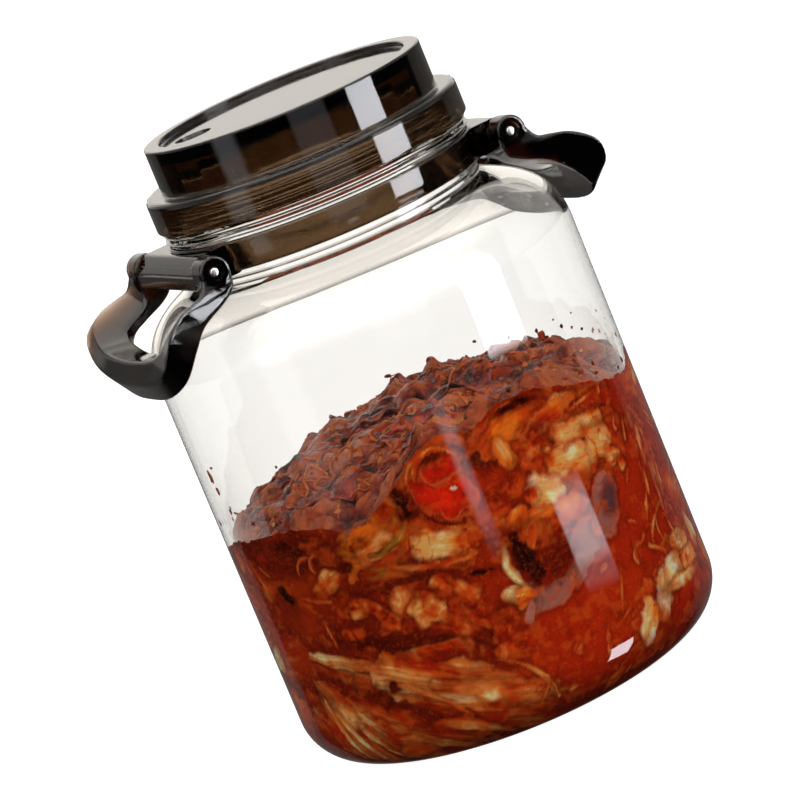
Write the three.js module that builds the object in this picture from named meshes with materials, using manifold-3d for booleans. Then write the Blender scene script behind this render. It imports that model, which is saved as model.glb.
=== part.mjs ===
// A clear glass storage jar of kimchi with a smoky brown screw lid, a brown collar ring under it
// and two hinged carrying handles. Millimetres, Z up, the jar stands on Z = 0 and its axis is Z.
import * as THREE from 'three';
import { mergeVertices } from 'three/addons/utils/BufferGeometryUtils.js';
import Module from 'manifold-3d';

const wasm = await Module();
wasm.setup();

// Jar
const BODY_RADIUS = 90;
const WALL = 3;
const BASE_THICKNESS = 6;
const HEEL_RADIUS = 20;
const SHOULDER_START = 172;
const SHOULDER_RADIUS = 20;
const SHOULDER_TOP = 199.5;
const NECK_RADIUS = 62.4;
const NECK_WALL = 5;
const NECK_START = 203;
const LIP_CHAMFER = 1;
const JAR_HEIGHT = 238.8;
const NECK_BEADS = [204.6, 207.2];
const NECK_BEAD_HEIGHT = 0.8;
const STOP_BEADS = [223.3, 226];
const STOP_BEAD_HEIGHT = 2.6;
const THREAD_BEADS = [231, 235.4];
const THREAD_BEAD_HEIGHT = 1.3;
const BEAD_HALF_WIDTH = 1.15;
const JAR_SIDES = 36;

// Lid
const LID_RADIUS = 66.6;
const LID_BOTTOM = 227.9;
const LID_STEP = 241.7;
const LID_TOP = 261.2;
const LID_DRUM_RADIUS = 59.1;
const LID_WALL = 2.3;
const LID_RIM_WIDTH = 6.5;
const LID_RECESS = 2.3;
const LID_DISC = 3.6;
const LID_EDGE = 1.6;
const LID_SIDES = 36;
const DIMPLE_RADIUS = 8.3;
const DIMPLE_DEPTH = 1.3;
const DIMPLE_PLACE = [-36.4, 13];
const DIMPLE_SIDES = 20;

// Collar ring with a hinge barrel on each side
const COLLAR_BOTTOM = 209.3;
const COLLAR_TOP = 221.6;
const COLLAR_RADIUS = 65.3;
const COLLAR_EDGE = 0.7;
const HINGE_RADIUS = 68.3;
const HINGE_HEIGHT = 214.7;
const BARREL_LENGTH = 65.2;
const BARREL_ROOT = 14;
const BARREL_TOP = 6.2;
const BARREL_OUT = 6;
const BARREL_GROOVE = 0.5;
const PIN_RADIUS = 1.8;
const PIN_GAP = 0.35;
const PIN_LENGTH = 86.4;
const PIN_SIDES = 16;

// Handle
const BOSS_RADIUS = 6.5;
const BOSS_INNER = 33;
const BOSS_OUTER = 44.2;
const BOSS_SIDES = 24;
const COUNTERBORE_RADIUS = 3.6;
const COUNTERBORE_DEPTH = 1.6;
const HANDLE_STATIONS = 42;

// The five long edges of a handle, from its hinge boss to the middle of its grip. Each point is
// [outward, along the hinge, up] from the hinge axis, and the second half mirrors the first.
const HANDLE_EDGES = [
  // outer wall, lower edge
  [[-6.2, 43.8, -2], [-4.8, 43.8, -8.2], [1, 43.8, -12.4], [12, 43.8, -17.7],
    [19, 44, -25.2], [25.8, 40, -35], [29.3, 23, -41.6], [29.8, 0, -43.3]],
  // outer wall, upper edge
  [[6.4, 43.8, -1], [9.6, 45, -6], [14.2, 46, -7.4], [22, 48, -9.7],
    [31, 50.5, -17], [34, 43.5, -27], [35, 24, -32.8], [35.2, 0, -34]],
  // upper edge of the bevel that opens round the corner of the grip
  [[6.4, 42.8, -0.8], [9.4, 44, -5.7], [14.1, 45, -7], [21.8, 46.8, -9.3],
    [28.2, 45, -14], [31.8, 35, -21], [32.8, 19, -23.8], [33, 0, -24.5]],
  // window, upper edge
  [[6.4, 33, -1], [6.8, 33, -10], [10, 33, -13.8], [15.5, 33, -16.2],
    [18.7, 32.5, -18.6], [20.3, 26, -22], [20.9, 13, -25], [21, 0, -26.2]],
  // window, lower edge
  [[-6.2, 33, -3], [-5.4, 33, -10.5], [-0.5, 33, -14.8], [9, 33, -18.6],
    [16, 33, -22], [22, 26, -28.5], [26.3, 13, -35], [27, 0, -36.8]],
];

// Kimchi
const KIMCHI_GAP = 0.35;
const KIMCHI_SINK = 3.6;
const KIMCHI_LEVEL = 107;
const KIMCHI_TILT = 7;
const KIMCHI_CROWN = 20;
const KIMCHI_SIDES = 30;
const KIMCHI_RINGS = 6;
const KIMCHI_SEED = 17;
const WALL_ROWS = 3;
const WALL_COLUMNS = 9;
const WALL_ROW_START = 25;
const WALL_ROW_STEP = 30;
const WALL_PIECE_WIDTH = [26, 40];
const WALL_PIECE_LENGTH = [20, 32];
const WALL_PIECE_TILT = 0.35;
const TOP_LEAVES = 14;
const TOP_REACH = 66;
const TOP_LEAF_SIZE = [20, 34];
const TOP_LEAF_THICKNESS = 2.2;
const SHREDS = 5;
const SHRED_REACH = 50;
const SHRED_LENGTH = [26, 38];
const SHRED_WIDTH = 5;
const SHRED_THICKNESS = 2.4;
const GOLDEN_ANGLE = Math.PI * (3 - Math.sqrt(5));

// Materials
const glass = new THREE.MeshStandardMaterial({ color: 0xeef2f1, roughness: 0.04, metalness: 0 });
const smokyPlastic = new THREE.MeshStandardMaterial({ color: 0x2c1a10, roughness: 0.12, metalness: 0 });
const handlePlastic = new THREE.MeshStandardMaterial({ color: 0x241c18, roughness: 0.2, metalness: 0 });
const steel = new THREE.MeshStandardMaterial({ color: 0xc4c6c8, roughness: 0.25, metalness: 1 });
const kimchiFood = new THREE.MeshStandardMaterial({ color: 0x9c3414, roughness: 0.35, metalness: 0 });

// The outer shell alone: hollows that the fused pieces close are filled and loose scraps dropped
function largestShell(solid) {
  return solid.decompose().reduce((best, shell) => (shell.volume() > best.volume() ? shell : best));
}

// A small seeded generator, so that every build places the pieces alike
function randomSource(seed) {
  let state = seed;
  return () => {
    state = (state * 1664525 + 1013904223) % 4294967296;
    return state / 4294967296;
  };
}

function toSolid(geometry) {
  const bare = geometry.clone();
  bare.deleteAttribute('normal');
  bare.deleteAttribute('uv');
  const merged = mergeVertices(bare, 1e-3);
  const corners = merged.index.array;
  const kept = [];
  for (let i = 0; i < corners.length; i += 3) {
    const [a, b, c] = [corners[i], corners[i + 1], corners[i + 2]];
    if (a !== b && b !== c && c !== a) kept.push(a, b, c);
  }
  return new wasm.Manifold(new wasm.Mesh({
    numProp: 3,
    vertProperties: new Float32Array(merged.attributes.position.array),
    triVerts: new Uint32Array(kept),
  }));
}

function toMesh(name, solid, material) {
  const data = solid.getMesh();
  const geometry = new THREE.BufferGeometry();
  geometry.setAttribute('position', new THREE.Float32BufferAttribute(data.vertProperties, 3));
  geometry.setIndex(Array.from(data.triVerts));
  geometry.computeVertexNormals();
  const mesh = new THREE.Mesh(geometry, material);
  mesh.name = name;
  return mesh;
}

// A closed surface from points and faces, turned so that its faces point outwards
function closedSolid(points, faces) {
  let volume = 0;
  for (let i = 0; i < faces.length; i += 3) {
    const [a, b, c] = [points[faces[i]], points[faces[i + 1]], points[faces[i + 2]]];
    volume += a.dot(new THREE.Vector3().crossVectors(b, c));
  }
  if (volume < 0) faces.reverse();
  const geometry = new THREE.BufferGeometry().setFromPoints(points);
  geometry.setIndex(faces);
  return toSolid(geometry);
}

// A solid turned about Z from [radius, height] points that start and end on the axis or close
function turned(profile, sides) {
  const points = profile.map(([radius, height]) => new THREE.Vector2(radius, height));
  const lathe = new THREE.LatheGeometry(points, sides);
  lathe.rotateX(Math.PI / 2);
  return toSolid(lathe);
}

// A round bar along Y about the point x, z
function barAlongY(radius, from, to, x, z, sides) {
  const bar = new THREE.CylinderGeometry(radius, radius, to - from, sides);
  bar.translate(x, (from + to) / 2, z);
  return toSolid(bar);
}

// Closed sections of equal length joined in order, with flat ends
function lofted(sections) {
  const count = sections[0].length;
  const faces = [];
  for (let i = 0; i + 1 < sections.length; i += 1) {
    for (let j = 0; j < count; j += 1) {
      const k = (j + 1) % count;
      const [a, b, c, d] = [i * count + j, i * count + k, (i + 1) * count + k, (i + 1) * count + j];
      faces.push(a, b, c, a, c, d);
    }
  }
  const last = (sections.length - 1) * count;
  for (let j = 1; j + 1 < count; j += 1) {
    faces.push(0, j + 1, j, last, last + j, last + j + 1);
  }
  return closedSolid(sections.flat(), faces);
}

function arc(centreX, centreY, radius, from, to, steps) {
  return Array.from({ length: steps + 1 }, (_, i) => {
    const angle = from + (to - from) * i / steps;
    return [centreX + radius * Math.cos(angle), centreY + radius * Math.sin(angle)];
  });
}

// The outside of the shoulder: a round turn from the wall, then an easy slope up to the neck
function shoulderCurve(offset) {
  const curve = new THREE.CubicBezierCurve(
    new THREE.Vector2(BODY_RADIUS - offset, SHOULDER_START),
    new THREE.Vector2(BODY_RADIUS - offset, SHOULDER_START + SHOULDER_RADIUS + 2 - offset),
    new THREE.Vector2(BODY_RADIUS - SHOULDER_RADIUS + 2 - offset, SHOULDER_TOP - 1 - offset),
    new THREE.Vector2(NECK_RADIUS + 0.6 - offset * 1.3, NECK_START - offset * 1.3),
  );
  return curve.getPoints(6).map((p) => [p.x, p.y]);
}

function bead(height, rise) {
  return [
    [NECK_RADIUS, height - BEAD_HALF_WIDTH],
    [NECK_RADIUS + rise, height],
    [NECK_RADIUS, height + BEAD_HALF_WIDTH],
  ];
}

function innerWall() {
  const radius = BODY_RADIUS - WALL;
  const heel = HEEL_RADIUS - WALL;
  return [
    [0, BASE_THICKNESS],
    ...arc(radius - heel, BASE_THICKNESS + heel, heel, -Math.PI / 2, 0, 4),
  ];
}

function makeJar() {
  const beads = [
    ...NECK_BEADS.flatMap((height) => bead(height, NECK_BEAD_HEIGHT)),
    ...STOP_BEADS.flatMap((height) => bead(height, STOP_BEAD_HEIGHT)),
    ...THREAD_BEADS.flatMap((height) => bead(height, THREAD_BEAD_HEIGHT)),
  ];
  const outside = [
    [0, 0],
    ...arc(BODY_RADIUS - HEEL_RADIUS, HEEL_RADIUS, HEEL_RADIUS, -Math.PI / 2, 0, 5),
    ...shoulderCurve(0),
    ...beads,
    [NECK_RADIUS, JAR_HEIGHT - LIP_CHAMFER],
    [NECK_RADIUS - LIP_CHAMFER, JAR_HEIGHT],
  ];
  const inside = [
    ...innerWall(),
    ...shoulderCurve(WALL),
    [NECK_RADIUS - NECK_WALL, NECK_START + 4],
    [NECK_RADIUS - NECK_WALL, JAR_HEIGHT - LIP_CHAMFER],
    [NECK_RADIUS - NECK_WALL + LIP_CHAMFER, JAR_HEIGHT],
  ];
  return toMesh('jar', turned([...outside, ...inside.reverse()], JAR_SIDES), glass);
}

function makeLid() {
  const discTop = LID_TOP - LID_RECESS;
  const recessRadius = LID_DRUM_RADIUS - LID_RIM_WIDTH;
  const drumInside = LID_DRUM_RADIUS - LID_WALL;
  const skirtInside = LID_RADIUS - LID_WALL + 0.2;
  const profile = [
    [0, discTop - LID_DISC],
    [drumInside, discTop - LID_DISC],
    [drumInside, LID_STEP - LID_WALL],
    [skirtInside, LID_STEP - LID_WALL],
    [skirtInside, LID_BOTTOM],
    [LID_RADIUS - LID_EDGE, LID_BOTTOM],
    ...arc(LID_RADIUS - LID_EDGE, LID_BOTTOM + LID_EDGE, LID_EDGE, -Math.PI / 3, 0, 2),
    ...arc(LID_RADIUS - LID_EDGE, LID_STEP - LID_EDGE, LID_EDGE, 0, Math.PI / 2, 3),
    [LID_DRUM_RADIUS + 0.6, LID_STEP],
    [LID_DRUM_RADIUS, LID_STEP + 0.6],
    [LID_DRUM_RADIUS, LID_TOP - 0.7],
    [LID_DRUM_RADIUS - 0.7, LID_TOP],
    [recessRadius + 0.4, LID_TOP],
    [recessRadius, LID_TOP - 0.4],
    [recessRadius, discTop],
    [0, discTop],
  ];
  const dimple = new THREE.CylinderGeometry(DIMPLE_RADIUS, DIMPLE_RADIUS - 0.8, DIMPLE_DEPTH * 2, DIMPLE_SIDES);
  dimple.rotateX(Math.PI / 2);
  dimple.translate(DIMPLE_PLACE[0], DIMPLE_PLACE[1], discTop);
  return toMesh('lid', turned(profile, LID_SIDES).subtract(toSolid(dimple)), smokyPlastic);
}

// The barrel's section across the hinge: a slanted upper face and an upright lower face,
// with a shallow groove between them, on a block that runs back into the ring
function barrelSection() {
  return [
    [HINGE_RADIUS - BARREL_ROOT, HINGE_HEIGHT - BARREL_TOP],
    [HINGE_RADIUS + BARREL_OUT - 1.6, HINGE_HEIGHT - BARREL_TOP],
    [HINGE_RADIUS + BARREL_OUT, HINGE_HEIGHT - BARREL_TOP + 1.4],
    [HINGE_RADIUS + BARREL_OUT, HINGE_HEIGHT - BARREL_GROOVE],
    [HINGE_RADIUS + BARREL_OUT - 2 * BARREL_GROOVE, HINGE_HEIGHT],
    [HINGE_RADIUS + BARREL_OUT - BARREL_GROOVE, HINGE_HEIGHT + BARREL_GROOVE],
    [HINGE_RADIUS + 1.2, HINGE_HEIGHT + BARREL_TOP - 0.6],
    [HINGE_RADIUS - 0.4, HINGE_HEIGHT + BARREL_TOP],
    [HINGE_RADIUS - BARREL_ROOT, HINGE_HEIGHT + BARREL_TOP],
  ];
}

function makeBarrel(side) {
  const half = BARREL_LENGTH / 2;
  const sections = [-half, half].map((y) => barrelSection().map(([x, z]) => new THREE.Vector3(side * x, y, z)));
  const bore = barAlongY(PIN_RADIUS + PIN_GAP, -half - 5, half + 5, side * HINGE_RADIUS, HINGE_HEIGHT, PIN_SIDES);
  return lofted(sections).subtract(bore);
}

function makeCollar() {
  const inside = NECK_RADIUS + PIN_GAP;
  const profile = [
    [inside, COLLAR_BOTTOM],
    [COLLAR_RADIUS - COLLAR_EDGE, COLLAR_BOTTOM],
    [COLLAR_RADIUS, COLLAR_BOTTOM + COLLAR_EDGE],
    [COLLAR_RADIUS, COLLAR_TOP - COLLAR_EDGE],
    [COLLAR_RADIUS - COLLAR_EDGE, COLLAR_TOP],
    [inside, COLLAR_TOP],
    [inside, COLLAR_BOTTOM],
  ];
  const neckHole = new THREE.CylinderGeometry(inside, inside, 60, JAR_SIDES);
  neckHole.rotateX(Math.PI / 2);
  neckHole.rotateZ(Math.PI / 2);
  neckHole.translate(0, 0, HINGE_HEIGHT);
  const barrels = makeBarrel(1).add(makeBarrel(-1)).subtract(toSolid(neckHole));
  return toMesh('collar', turned(profile, JAR_SIDES).add(barrels), smokyPlastic);
}

// One edge of a handle over its whole length, as a curve in [outward, along, up]
function wholeEdge(points) {
  const near = points.map(([out, along, up]) => new THREE.Vector3(out, -along, up));
  const far = points.slice(0, -1).reverse().map(([out, along, up]) => new THREE.Vector3(out, along, up));
  return new THREE.CatmullRomCurve3([...near, ...far], false, 'catmullrom', 0.5);
}

function makeHandle(name, side) {
  const edges = HANDLE_EDGES.map(wholeEdge);
  const sections = [];
  for (let i = 0; i <= HANDLE_STATIONS; i += 1) {
    sections.push(edges.map((edge) => {
      const p = edge.getPoint(i / HANDLE_STATIONS);
      return new THREE.Vector3(side * (HINGE_RADIUS + p.x), p.y, HINGE_HEIGHT + p.z);
    }));
  }
  let handle = lofted(sections);
  const x = side * HINGE_RADIUS;
  for (const end of [-1, 1]) {
    const [from, to] = [end * BOSS_INNER, end * BOSS_OUTER].sort((a, b) => a - b);
    handle = handle.add(barAlongY(BOSS_RADIUS, from, to, x, HINGE_HEIGHT, BOSS_SIDES));
  }
  for (const end of [-1, 1]) {
    const deep = [end * (BOSS_OUTER - COUNTERBORE_DEPTH), end * (BOSS_OUTER + 4)].sort((a, b) => a - b);
    handle = handle.subtract(barAlongY(COUNTERBORE_RADIUS, deep[0], deep[1], x, HINGE_HEIGHT, PIN_SIDES));
  }
  const bore = barAlongY(PIN_RADIUS + PIN_GAP, -BOSS_OUTER - 5, BOSS_OUTER + 5, x, HINGE_HEIGHT, PIN_SIDES);
  return toMesh(name, handle.subtract(bore), handlePlastic);
}

function makePin(name, side) {
  const half = PIN_LENGTH / 2;
  return toMesh(name, barAlongY(PIN_RADIUS, -half, half, side * HINGE_RADIUS, HINGE_HEIGHT, PIN_SIDES), steel);
}

// Height of the top of the kimchi over a point: tilted, crowned and lumpy
function kimchiTop(x, y) {
  const away = Math.min(Math.hypot(x, y) / (BODY_RADIUS - WALL), 1);
  const lumps = 3 * Math.sin(x * 0.11 + 1.3) * Math.cos(y * 0.13 - 0.4) + 1.6 * Math.sin(x * 0.23 - y * 0.19);
  const tilt = KIMCHI_TILT * (x * 0.94 - y * 0.34) / BODY_RADIUS;
  return KIMCHI_LEVEL + tilt + KIMCHI_CROWN * (1 - away * away) + lumps * (1 - away * 0.5);
}

function kimchiWallRadius(z, inset) {
  const heel = HEEL_RADIUS - WALL;
  const radius = BODY_RADIUS - WALL - KIMCHI_GAP - inset;
  const rise = BASE_THICKNESS + heel - z;
  if (rise <= 0) return radius;
  return radius - heel + Math.sqrt(Math.max(heel * heel - rise * rise, 0));
}

// The packed body of the kimchi, a little smaller than the jar's inside
function kimchiCore() {
  const points = [];
  const faces = [];
  const rings = [];
  const floor = BASE_THICKNESS + KIMCHI_GAP;
  const heights = [0, 2.5, 8, HEEL_RADIUS];
  for (const height of heights) {
    rings.push((angle) => {
      const radius = kimchiWallRadius(floor + height, KIMCHI_SINK);
      return [radius * Math.cos(angle), radius * Math.sin(angle), floor + height];
    });
  }
  for (let i = 0; i < KIMCHI_RINGS; i += 1) {
    const radius = (BODY_RADIUS - WALL - KIMCHI_GAP - KIMCHI_SINK) * (1 - i / KIMCHI_RINGS);
    rings.push((angle) => {
      const [x, y] = [radius * Math.cos(angle), radius * Math.sin(angle)];
      return [x, y, kimchiTop(x, y)];
    });
  }
  for (const ring of rings) {
    for (let j = 0; j < KIMCHI_SIDES; j += 1) {
      points.push(new THREE.Vector3(...ring(2 * Math.PI * j / KIMCHI_SIDES)));
    }
  }
  for (let i = 0; i + 1 < rings.length; i += 1) {
    for (let j = 0; j < KIMCHI_SIDES; j += 1) {
      const k = (j + 1) % KIMCHI_SIDES;
      const [a, b] = [i * KIMCHI_SIDES + j, i * KIMCHI_SIDES + k];
      faces.push(a, b, b + KIMCHI_SIDES, a, b + KIMCHI_SIDES, a + KIMCHI_SIDES);
    }
  }
  const bottom = points.push(new THREE.Vector3(0, 0, floor)) - 1;
  const top = points.push(new THREE.Vector3(0, 0, kimchiTop(0, 0))) - 1;
  const last = (rings.length - 1) * KIMCHI_SIDES;
  for (let j = 0; j < KIMCHI_SIDES; j += 1) {
    const k = (j + 1) % KIMCHI_SIDES;
    faces.push(bottom, k, j, top, last + j, last + k);
  }
  return closedSolid(points, faces);
}

// A thin sheet over a grid: place(u, v, side) gives a point of its upper or lower face
function sheet(columns, rows, place) {
  const points = [];
  const faces = [];
  const at = (face, i, j) => face * (columns + 1) * (rows + 1) + j * (columns + 1) + i;
  for (const face of [0, 1]) {
    for (let j = 0; j <= rows; j += 1) {
      for (let i = 0; i <= columns; i += 1) {
        points.push(place(2 * i / columns - 1, 2 * j / rows - 1, face ? -1 : 1));
      }
    }
  }
  for (let j = 0; j < rows; j += 1) {
    for (let i = 0; i < columns; i += 1) {
      for (const face of [0, 1]) {
        const quad = [at(face, i, j), at(face, i + 1, j), at(face, i + 1, j + 1), at(face, i, j + 1)];
        const turn = face ? [0, 2, 1, 0, 3, 2] : [0, 1, 2, 0, 2, 3];
        faces.push(...turn.map((corner) => quad[corner]));
      }
    }
  }
  const rim = [];
  for (let i = 0; i < columns; i += 1) rim.push([i, 0]);
  for (let j = 0; j < rows; j += 1) rim.push([columns, j]);
  for (let i = columns; i > 0; i -= 1) rim.push([i, rows]);
  for (let j = rows; j > 0; j -= 1) rim.push([0, j]);
  rim.forEach(([i, j], n) => {
    const [p, q] = rim[(n + 1) % rim.length];
    const [a, b, c, d] = [at(0, i, j), at(0, p, q), at(1, p, q), at(1, i, j)];
    faces.push(a, c, b, a, d, c);
  });
  return closedSolid(points, faces);
}

function between(random, [low, high]) {
  return low + (high - low) * random();
}

// A piece pressed against the glass, bent round the wall and tilted by an angle
function wallPiece(random, angle, height, width, length, tilt) {
  const thick = KIMCHI_SINK + 1.6;
  const wave = random() * 6;
  return sheet(3, 2, (u, v, side) => {
    const narrow = 1 - 0.3 * v * v;
    const along = u * width / 2 * narrow;
    const up = v * length / 2 * (1 - 0.25 * u * u) + 1.2 * Math.sin(3 * u + wave);
    const z = height + along * Math.sin(tilt) + up * Math.cos(tilt);
    const across = along * Math.cos(tilt) - up * Math.sin(tilt);
    const outer = kimchiWallRadius(z, 0.1 + 0.5 * Math.abs(Math.sin(5 * u + 3 * v + wave)));
    const radius = side > 0 ? outer : outer - thick;
    const turn = angle + across / (BODY_RADIUS - WALL);
    return new THREE.Vector3(radius * Math.cos(turn), radius * Math.sin(turn), z);
  });
}

// A crumpled leaf or a shred that lies on the heap, curled at its edge
function topLeaf(random, x, y, length, width, thick) {
  const wave = random() * 6;
  const heading = random() * Math.PI;
  return sheet(4, 2, (u, v, side) => {
    const along = u * length / 2;
    const across = v * width / 2 * (1 - 0.35 * u * u);
    const px = x + along * Math.cos(heading) - across * Math.sin(heading);
    const py = y + along * Math.sin(heading) + across * Math.cos(heading);
    const reach = Math.hypot(px, py);
    const limit = Math.min(1, (BODY_RADIUS - WALL - KIMCHI_GAP - 1) / reach);
    const curl = 2.6 * Math.sin(2.4 * u + wave) + 1.5 * v * v + 1.4 * Math.cos(3.1 * v + wave);
    const lift = kimchiTop(px * limit, py * limit) + 1.1 + 0.6 * curl;
    return new THREE.Vector3(px * limit, py * limit, lift + side * thick / 2);
  });
}

function wallPieces(random) {
  const pieces = [];
  for (let row = 0; row < WALL_ROWS; row += 1) {
    for (let column = 0; column < WALL_COLUMNS; column += 1) {
      const angle = 2 * Math.PI * (column + 0.5 * (row % 2) + 0.3 * random()) / WALL_COLUMNS;
      const height = WALL_ROW_START + WALL_ROW_STEP * (row + 0.2 * random());
      const width = between(random, WALL_PIECE_WIDTH);
      const length = between(random, WALL_PIECE_LENGTH);
      const tilt = between(random, [-WALL_PIECE_TILT, WALL_PIECE_TILT]);
      pieces.push(wallPiece(random, angle, height, width, length, tilt));
    }
  }
  return pieces;
}

// Leaves or shreds spread evenly over the top, out to a reach from the axis
function topPieces(random, count, reach, start, shape) {
  return Array.from({ length: count }, (_, i) => {
    const angle = start + i * GOLDEN_ANGLE;
    const radius = reach * Math.sqrt((i + 0.5) / count);
    return shape(radius * Math.cos(angle), radius * Math.sin(angle));
  });
}

function makeKimchi() {
  const random = randomSource(KIMCHI_SEED);
  const leaves = topPieces(random, TOP_LEAVES, TOP_REACH, 0, (x, y) => {
    const size = between(random, TOP_LEAF_SIZE);
    return topLeaf(random, x, y, size * 1.2, size * 0.72, TOP_LEAF_THICKNESS);
  });
  const shreds = topPieces(random, SHREDS, SHRED_REACH, 1, (x, y) => (
    topLeaf(random, x, y, between(random, SHRED_LENGTH), SHRED_WIDTH, SHRED_THICKNESS)
  ));
  let heap = kimchiCore();
  for (const piece of [...wallPieces(random), ...leaves, ...shreds]) {
    heap = heap.add(piece);
  }
  return toMesh('kimchi', largestShell(heap), kimchiFood);
}

const storageJar = new THREE.Group();
storageJar.add(
  makeJar(),
  makeLid(),
  makeCollar(),
  makeHandle('handle_right', 1),
  makeHandle('handle_left', -1),
  makePin('hinge_pin_right', 1),
  makePin('hinge_pin_left', -1),
  makeKimchi(),
);

export default storageJar;
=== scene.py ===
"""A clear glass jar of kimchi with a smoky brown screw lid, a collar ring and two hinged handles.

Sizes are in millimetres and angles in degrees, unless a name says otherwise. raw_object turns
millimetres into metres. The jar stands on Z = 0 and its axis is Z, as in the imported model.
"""
import math

import bpy
import numpy as np
from mathutils import Matrix, Vector


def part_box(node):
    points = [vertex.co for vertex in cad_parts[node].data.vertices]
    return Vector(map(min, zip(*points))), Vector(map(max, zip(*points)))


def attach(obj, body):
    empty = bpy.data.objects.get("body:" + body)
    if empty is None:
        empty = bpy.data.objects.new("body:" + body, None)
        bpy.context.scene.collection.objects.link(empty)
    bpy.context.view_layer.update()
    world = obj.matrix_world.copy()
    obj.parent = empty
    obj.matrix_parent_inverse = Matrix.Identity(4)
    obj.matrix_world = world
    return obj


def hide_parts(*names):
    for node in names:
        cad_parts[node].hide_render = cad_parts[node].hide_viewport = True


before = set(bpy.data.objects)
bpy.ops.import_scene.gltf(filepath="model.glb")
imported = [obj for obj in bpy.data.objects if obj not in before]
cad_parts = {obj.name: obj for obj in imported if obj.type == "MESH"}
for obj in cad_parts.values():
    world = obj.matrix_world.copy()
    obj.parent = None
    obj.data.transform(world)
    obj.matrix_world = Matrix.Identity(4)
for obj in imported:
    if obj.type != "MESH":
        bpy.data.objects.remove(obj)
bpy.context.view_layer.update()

MM = 0.001

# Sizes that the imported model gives
JAR_LOW, JAR_HIGH = (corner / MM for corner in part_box("jar"))
LID_LOW, LID_HIGH = (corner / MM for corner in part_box("lid"))
PIN_LOW, PIN_HIGH = (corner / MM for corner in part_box("hinge_pin_right"))

# Jar
BODY_RADIUS = JAR_HIGH.x
JAR_HEIGHT = JAR_HIGH.z
WALL = 3
INNER_RADIUS = BODY_RADIUS - WALL
BASE_THICKNESS = 6
HEEL_RADIUS = 20
SHOULDER_START = 172
SHOULDER_RADIUS = 20
SHOULDER_TOP = 199.5
NECK_RADIUS = 62.4
NECK_WALL = 5
NECK_START = 203
LIP_RADIUS = 1.6
NECK_BEADS = ((204.6, 0.3), (207.2, 0.3), (223.3, 2.6), (226, 2.6), (231, 0.2), (235.4, 0.2))
BEAD_HALF_WIDTH = 1.25
JAR_SIDES = 192

# Lid
LID_RADIUS = LID_HIGH.x
LID_BOTTOM = LID_LOW.z
LID_TOP = LID_HIGH.z
LID_STEP = 241.7
LID_DRUM_RADIUS = 59.1
LID_WALL = 2.3
LID_RIM_WIDTH = 6.5
LID_RECESS = 2.3
LID_DISC = 3.6
LID_SIDES = 224
LID_FACETS = 28
DIMPLE_RADIUS = 8.3
DIMPLE_DEPTH = 1.3
DIMPLE_PLACE = (-36.4, 13)

# Collar and hinges
COLLAR_BOTTOM = 209.3
COLLAR_TOP = 221.6
COLLAR_RADIUS = 65.3
PIN_RADIUS = (PIN_HIGH.x - PIN_LOW.x) / 2
HINGE_RADIUS = (PIN_HIGH.x + PIN_LOW.x) / 2
HINGE_HEIGHT = (PIN_HIGH.z + PIN_LOW.z) / 2
PIN_HALF_LENGTH = PIN_HIGH.y
PIN_GAP = 0.35
BARREL_HALF_LENGTH = 32.6
BARREL_ROOT = 14
BARREL_TOP = 6.2
BARREL_OUT = 6
BARREL_GROOVE = 0.5

# Handle
BOSS_RADIUS = 6.5
BOSS_INNER = 33
BOSS_OUTER = 44.2
COUNTERBORE_RADIUS = 3.6
COUNTERBORE_DEPTH = 1.6
HANDLE_STATIONS = 150

# The five long edges of a handle, from its hinge boss to the middle of its grip. Each point is
# (outward, along the hinge, up) from the hinge axis, and the second half mirrors the first.
# Each edge also has the width over which it is rounded.
HANDLE_EDGES = (
    # outer wall, lower edge
    (1.5, ((-6.2, 43.8, -2), (-4.8, 43.8, -8.2), (1, 43.8, -12.4), (12, 43.8, -17.7),
           (19, 44, -25.2), (25.8, 40, -35), (29.3, 23, -41.6), (29.8, 0, -43.3))),
    # outer wall, upper edge
    (1.1, ((6.4, 43.8, -1), (9.6, 45, -6), (14.2, 46, -7.4), (22, 48, -9.7),
           (31, 50.5, -17), (34, 43.5, -27), (35, 24, -32.8), (35.2, 0, -34))),
    # upper edge of the bevel that opens round the corner of the grip
    (0.9, ((6.4, 42.8, -0.8), (9.4, 44, -5.7), (14.1, 45, -7), (21.8, 46.8, -9.3),
           (28.2, 45, -14), (31.8, 35, -21), (32.8, 19, -23.8), (33, 0, -24.5))),
    # window, upper edge
    (1.6, ((6.4, 33, -1), (6.8, 33, -10), (10, 33, -13.8), (15.5, 33, -16.2),
           (18.7, 32.5, -18.6), (20.3, 26, -22), (20.9, 13, -25), (21, 0, -26.2))),
    # window, lower edge
    (1.6, ((-6.2, 33, -3), (-5.4, 33, -10.5), (-0.5, 33, -14.8), (9, 33, -18.6),
           (16, 33, -22), (22, 26, -28.5), (26.3, 13, -35), (27, 0, -36.8))),
)

# Kimchi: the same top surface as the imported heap, and how far its face reaches into the glass
KIMCHI_LEVEL = 107
KIMCHI_TILT = 7
KIMCHI_CROWN = 20
KIMCHI_FOOT = BASE_THICKNESS + (HEEL_RADIUS - WALL) * (1 - math.pi / 2)
WALL_REACH = 0.12
FACE_RELIEF = 0.8
FACE_COLUMNS = 480
FACE_ROWS = 184
FLOOR_ROWS = 14
HUB_HEIGHT = 55
CRUST_COUNT = 290
LEAF_THICKNESS = 0.7
NOISE_CELLS = 256

# The line of the kimchi on the glass, as (angle from the camera side, height)
FRONT_RIM = ((-86, 104), (-60, 106.5), (-45, 109), (-34, 107), (-28, 102.5), (-22, 103.5), (-16, 110), (-10, 116),
             (-6, 122), (3, 127.5), (9, 125), (12, 123.5), (20, 128.5), (30, 127.5), (38, 123.5), (50, 117.5),
             (60, 112), (75, 109), (86, 108))

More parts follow.
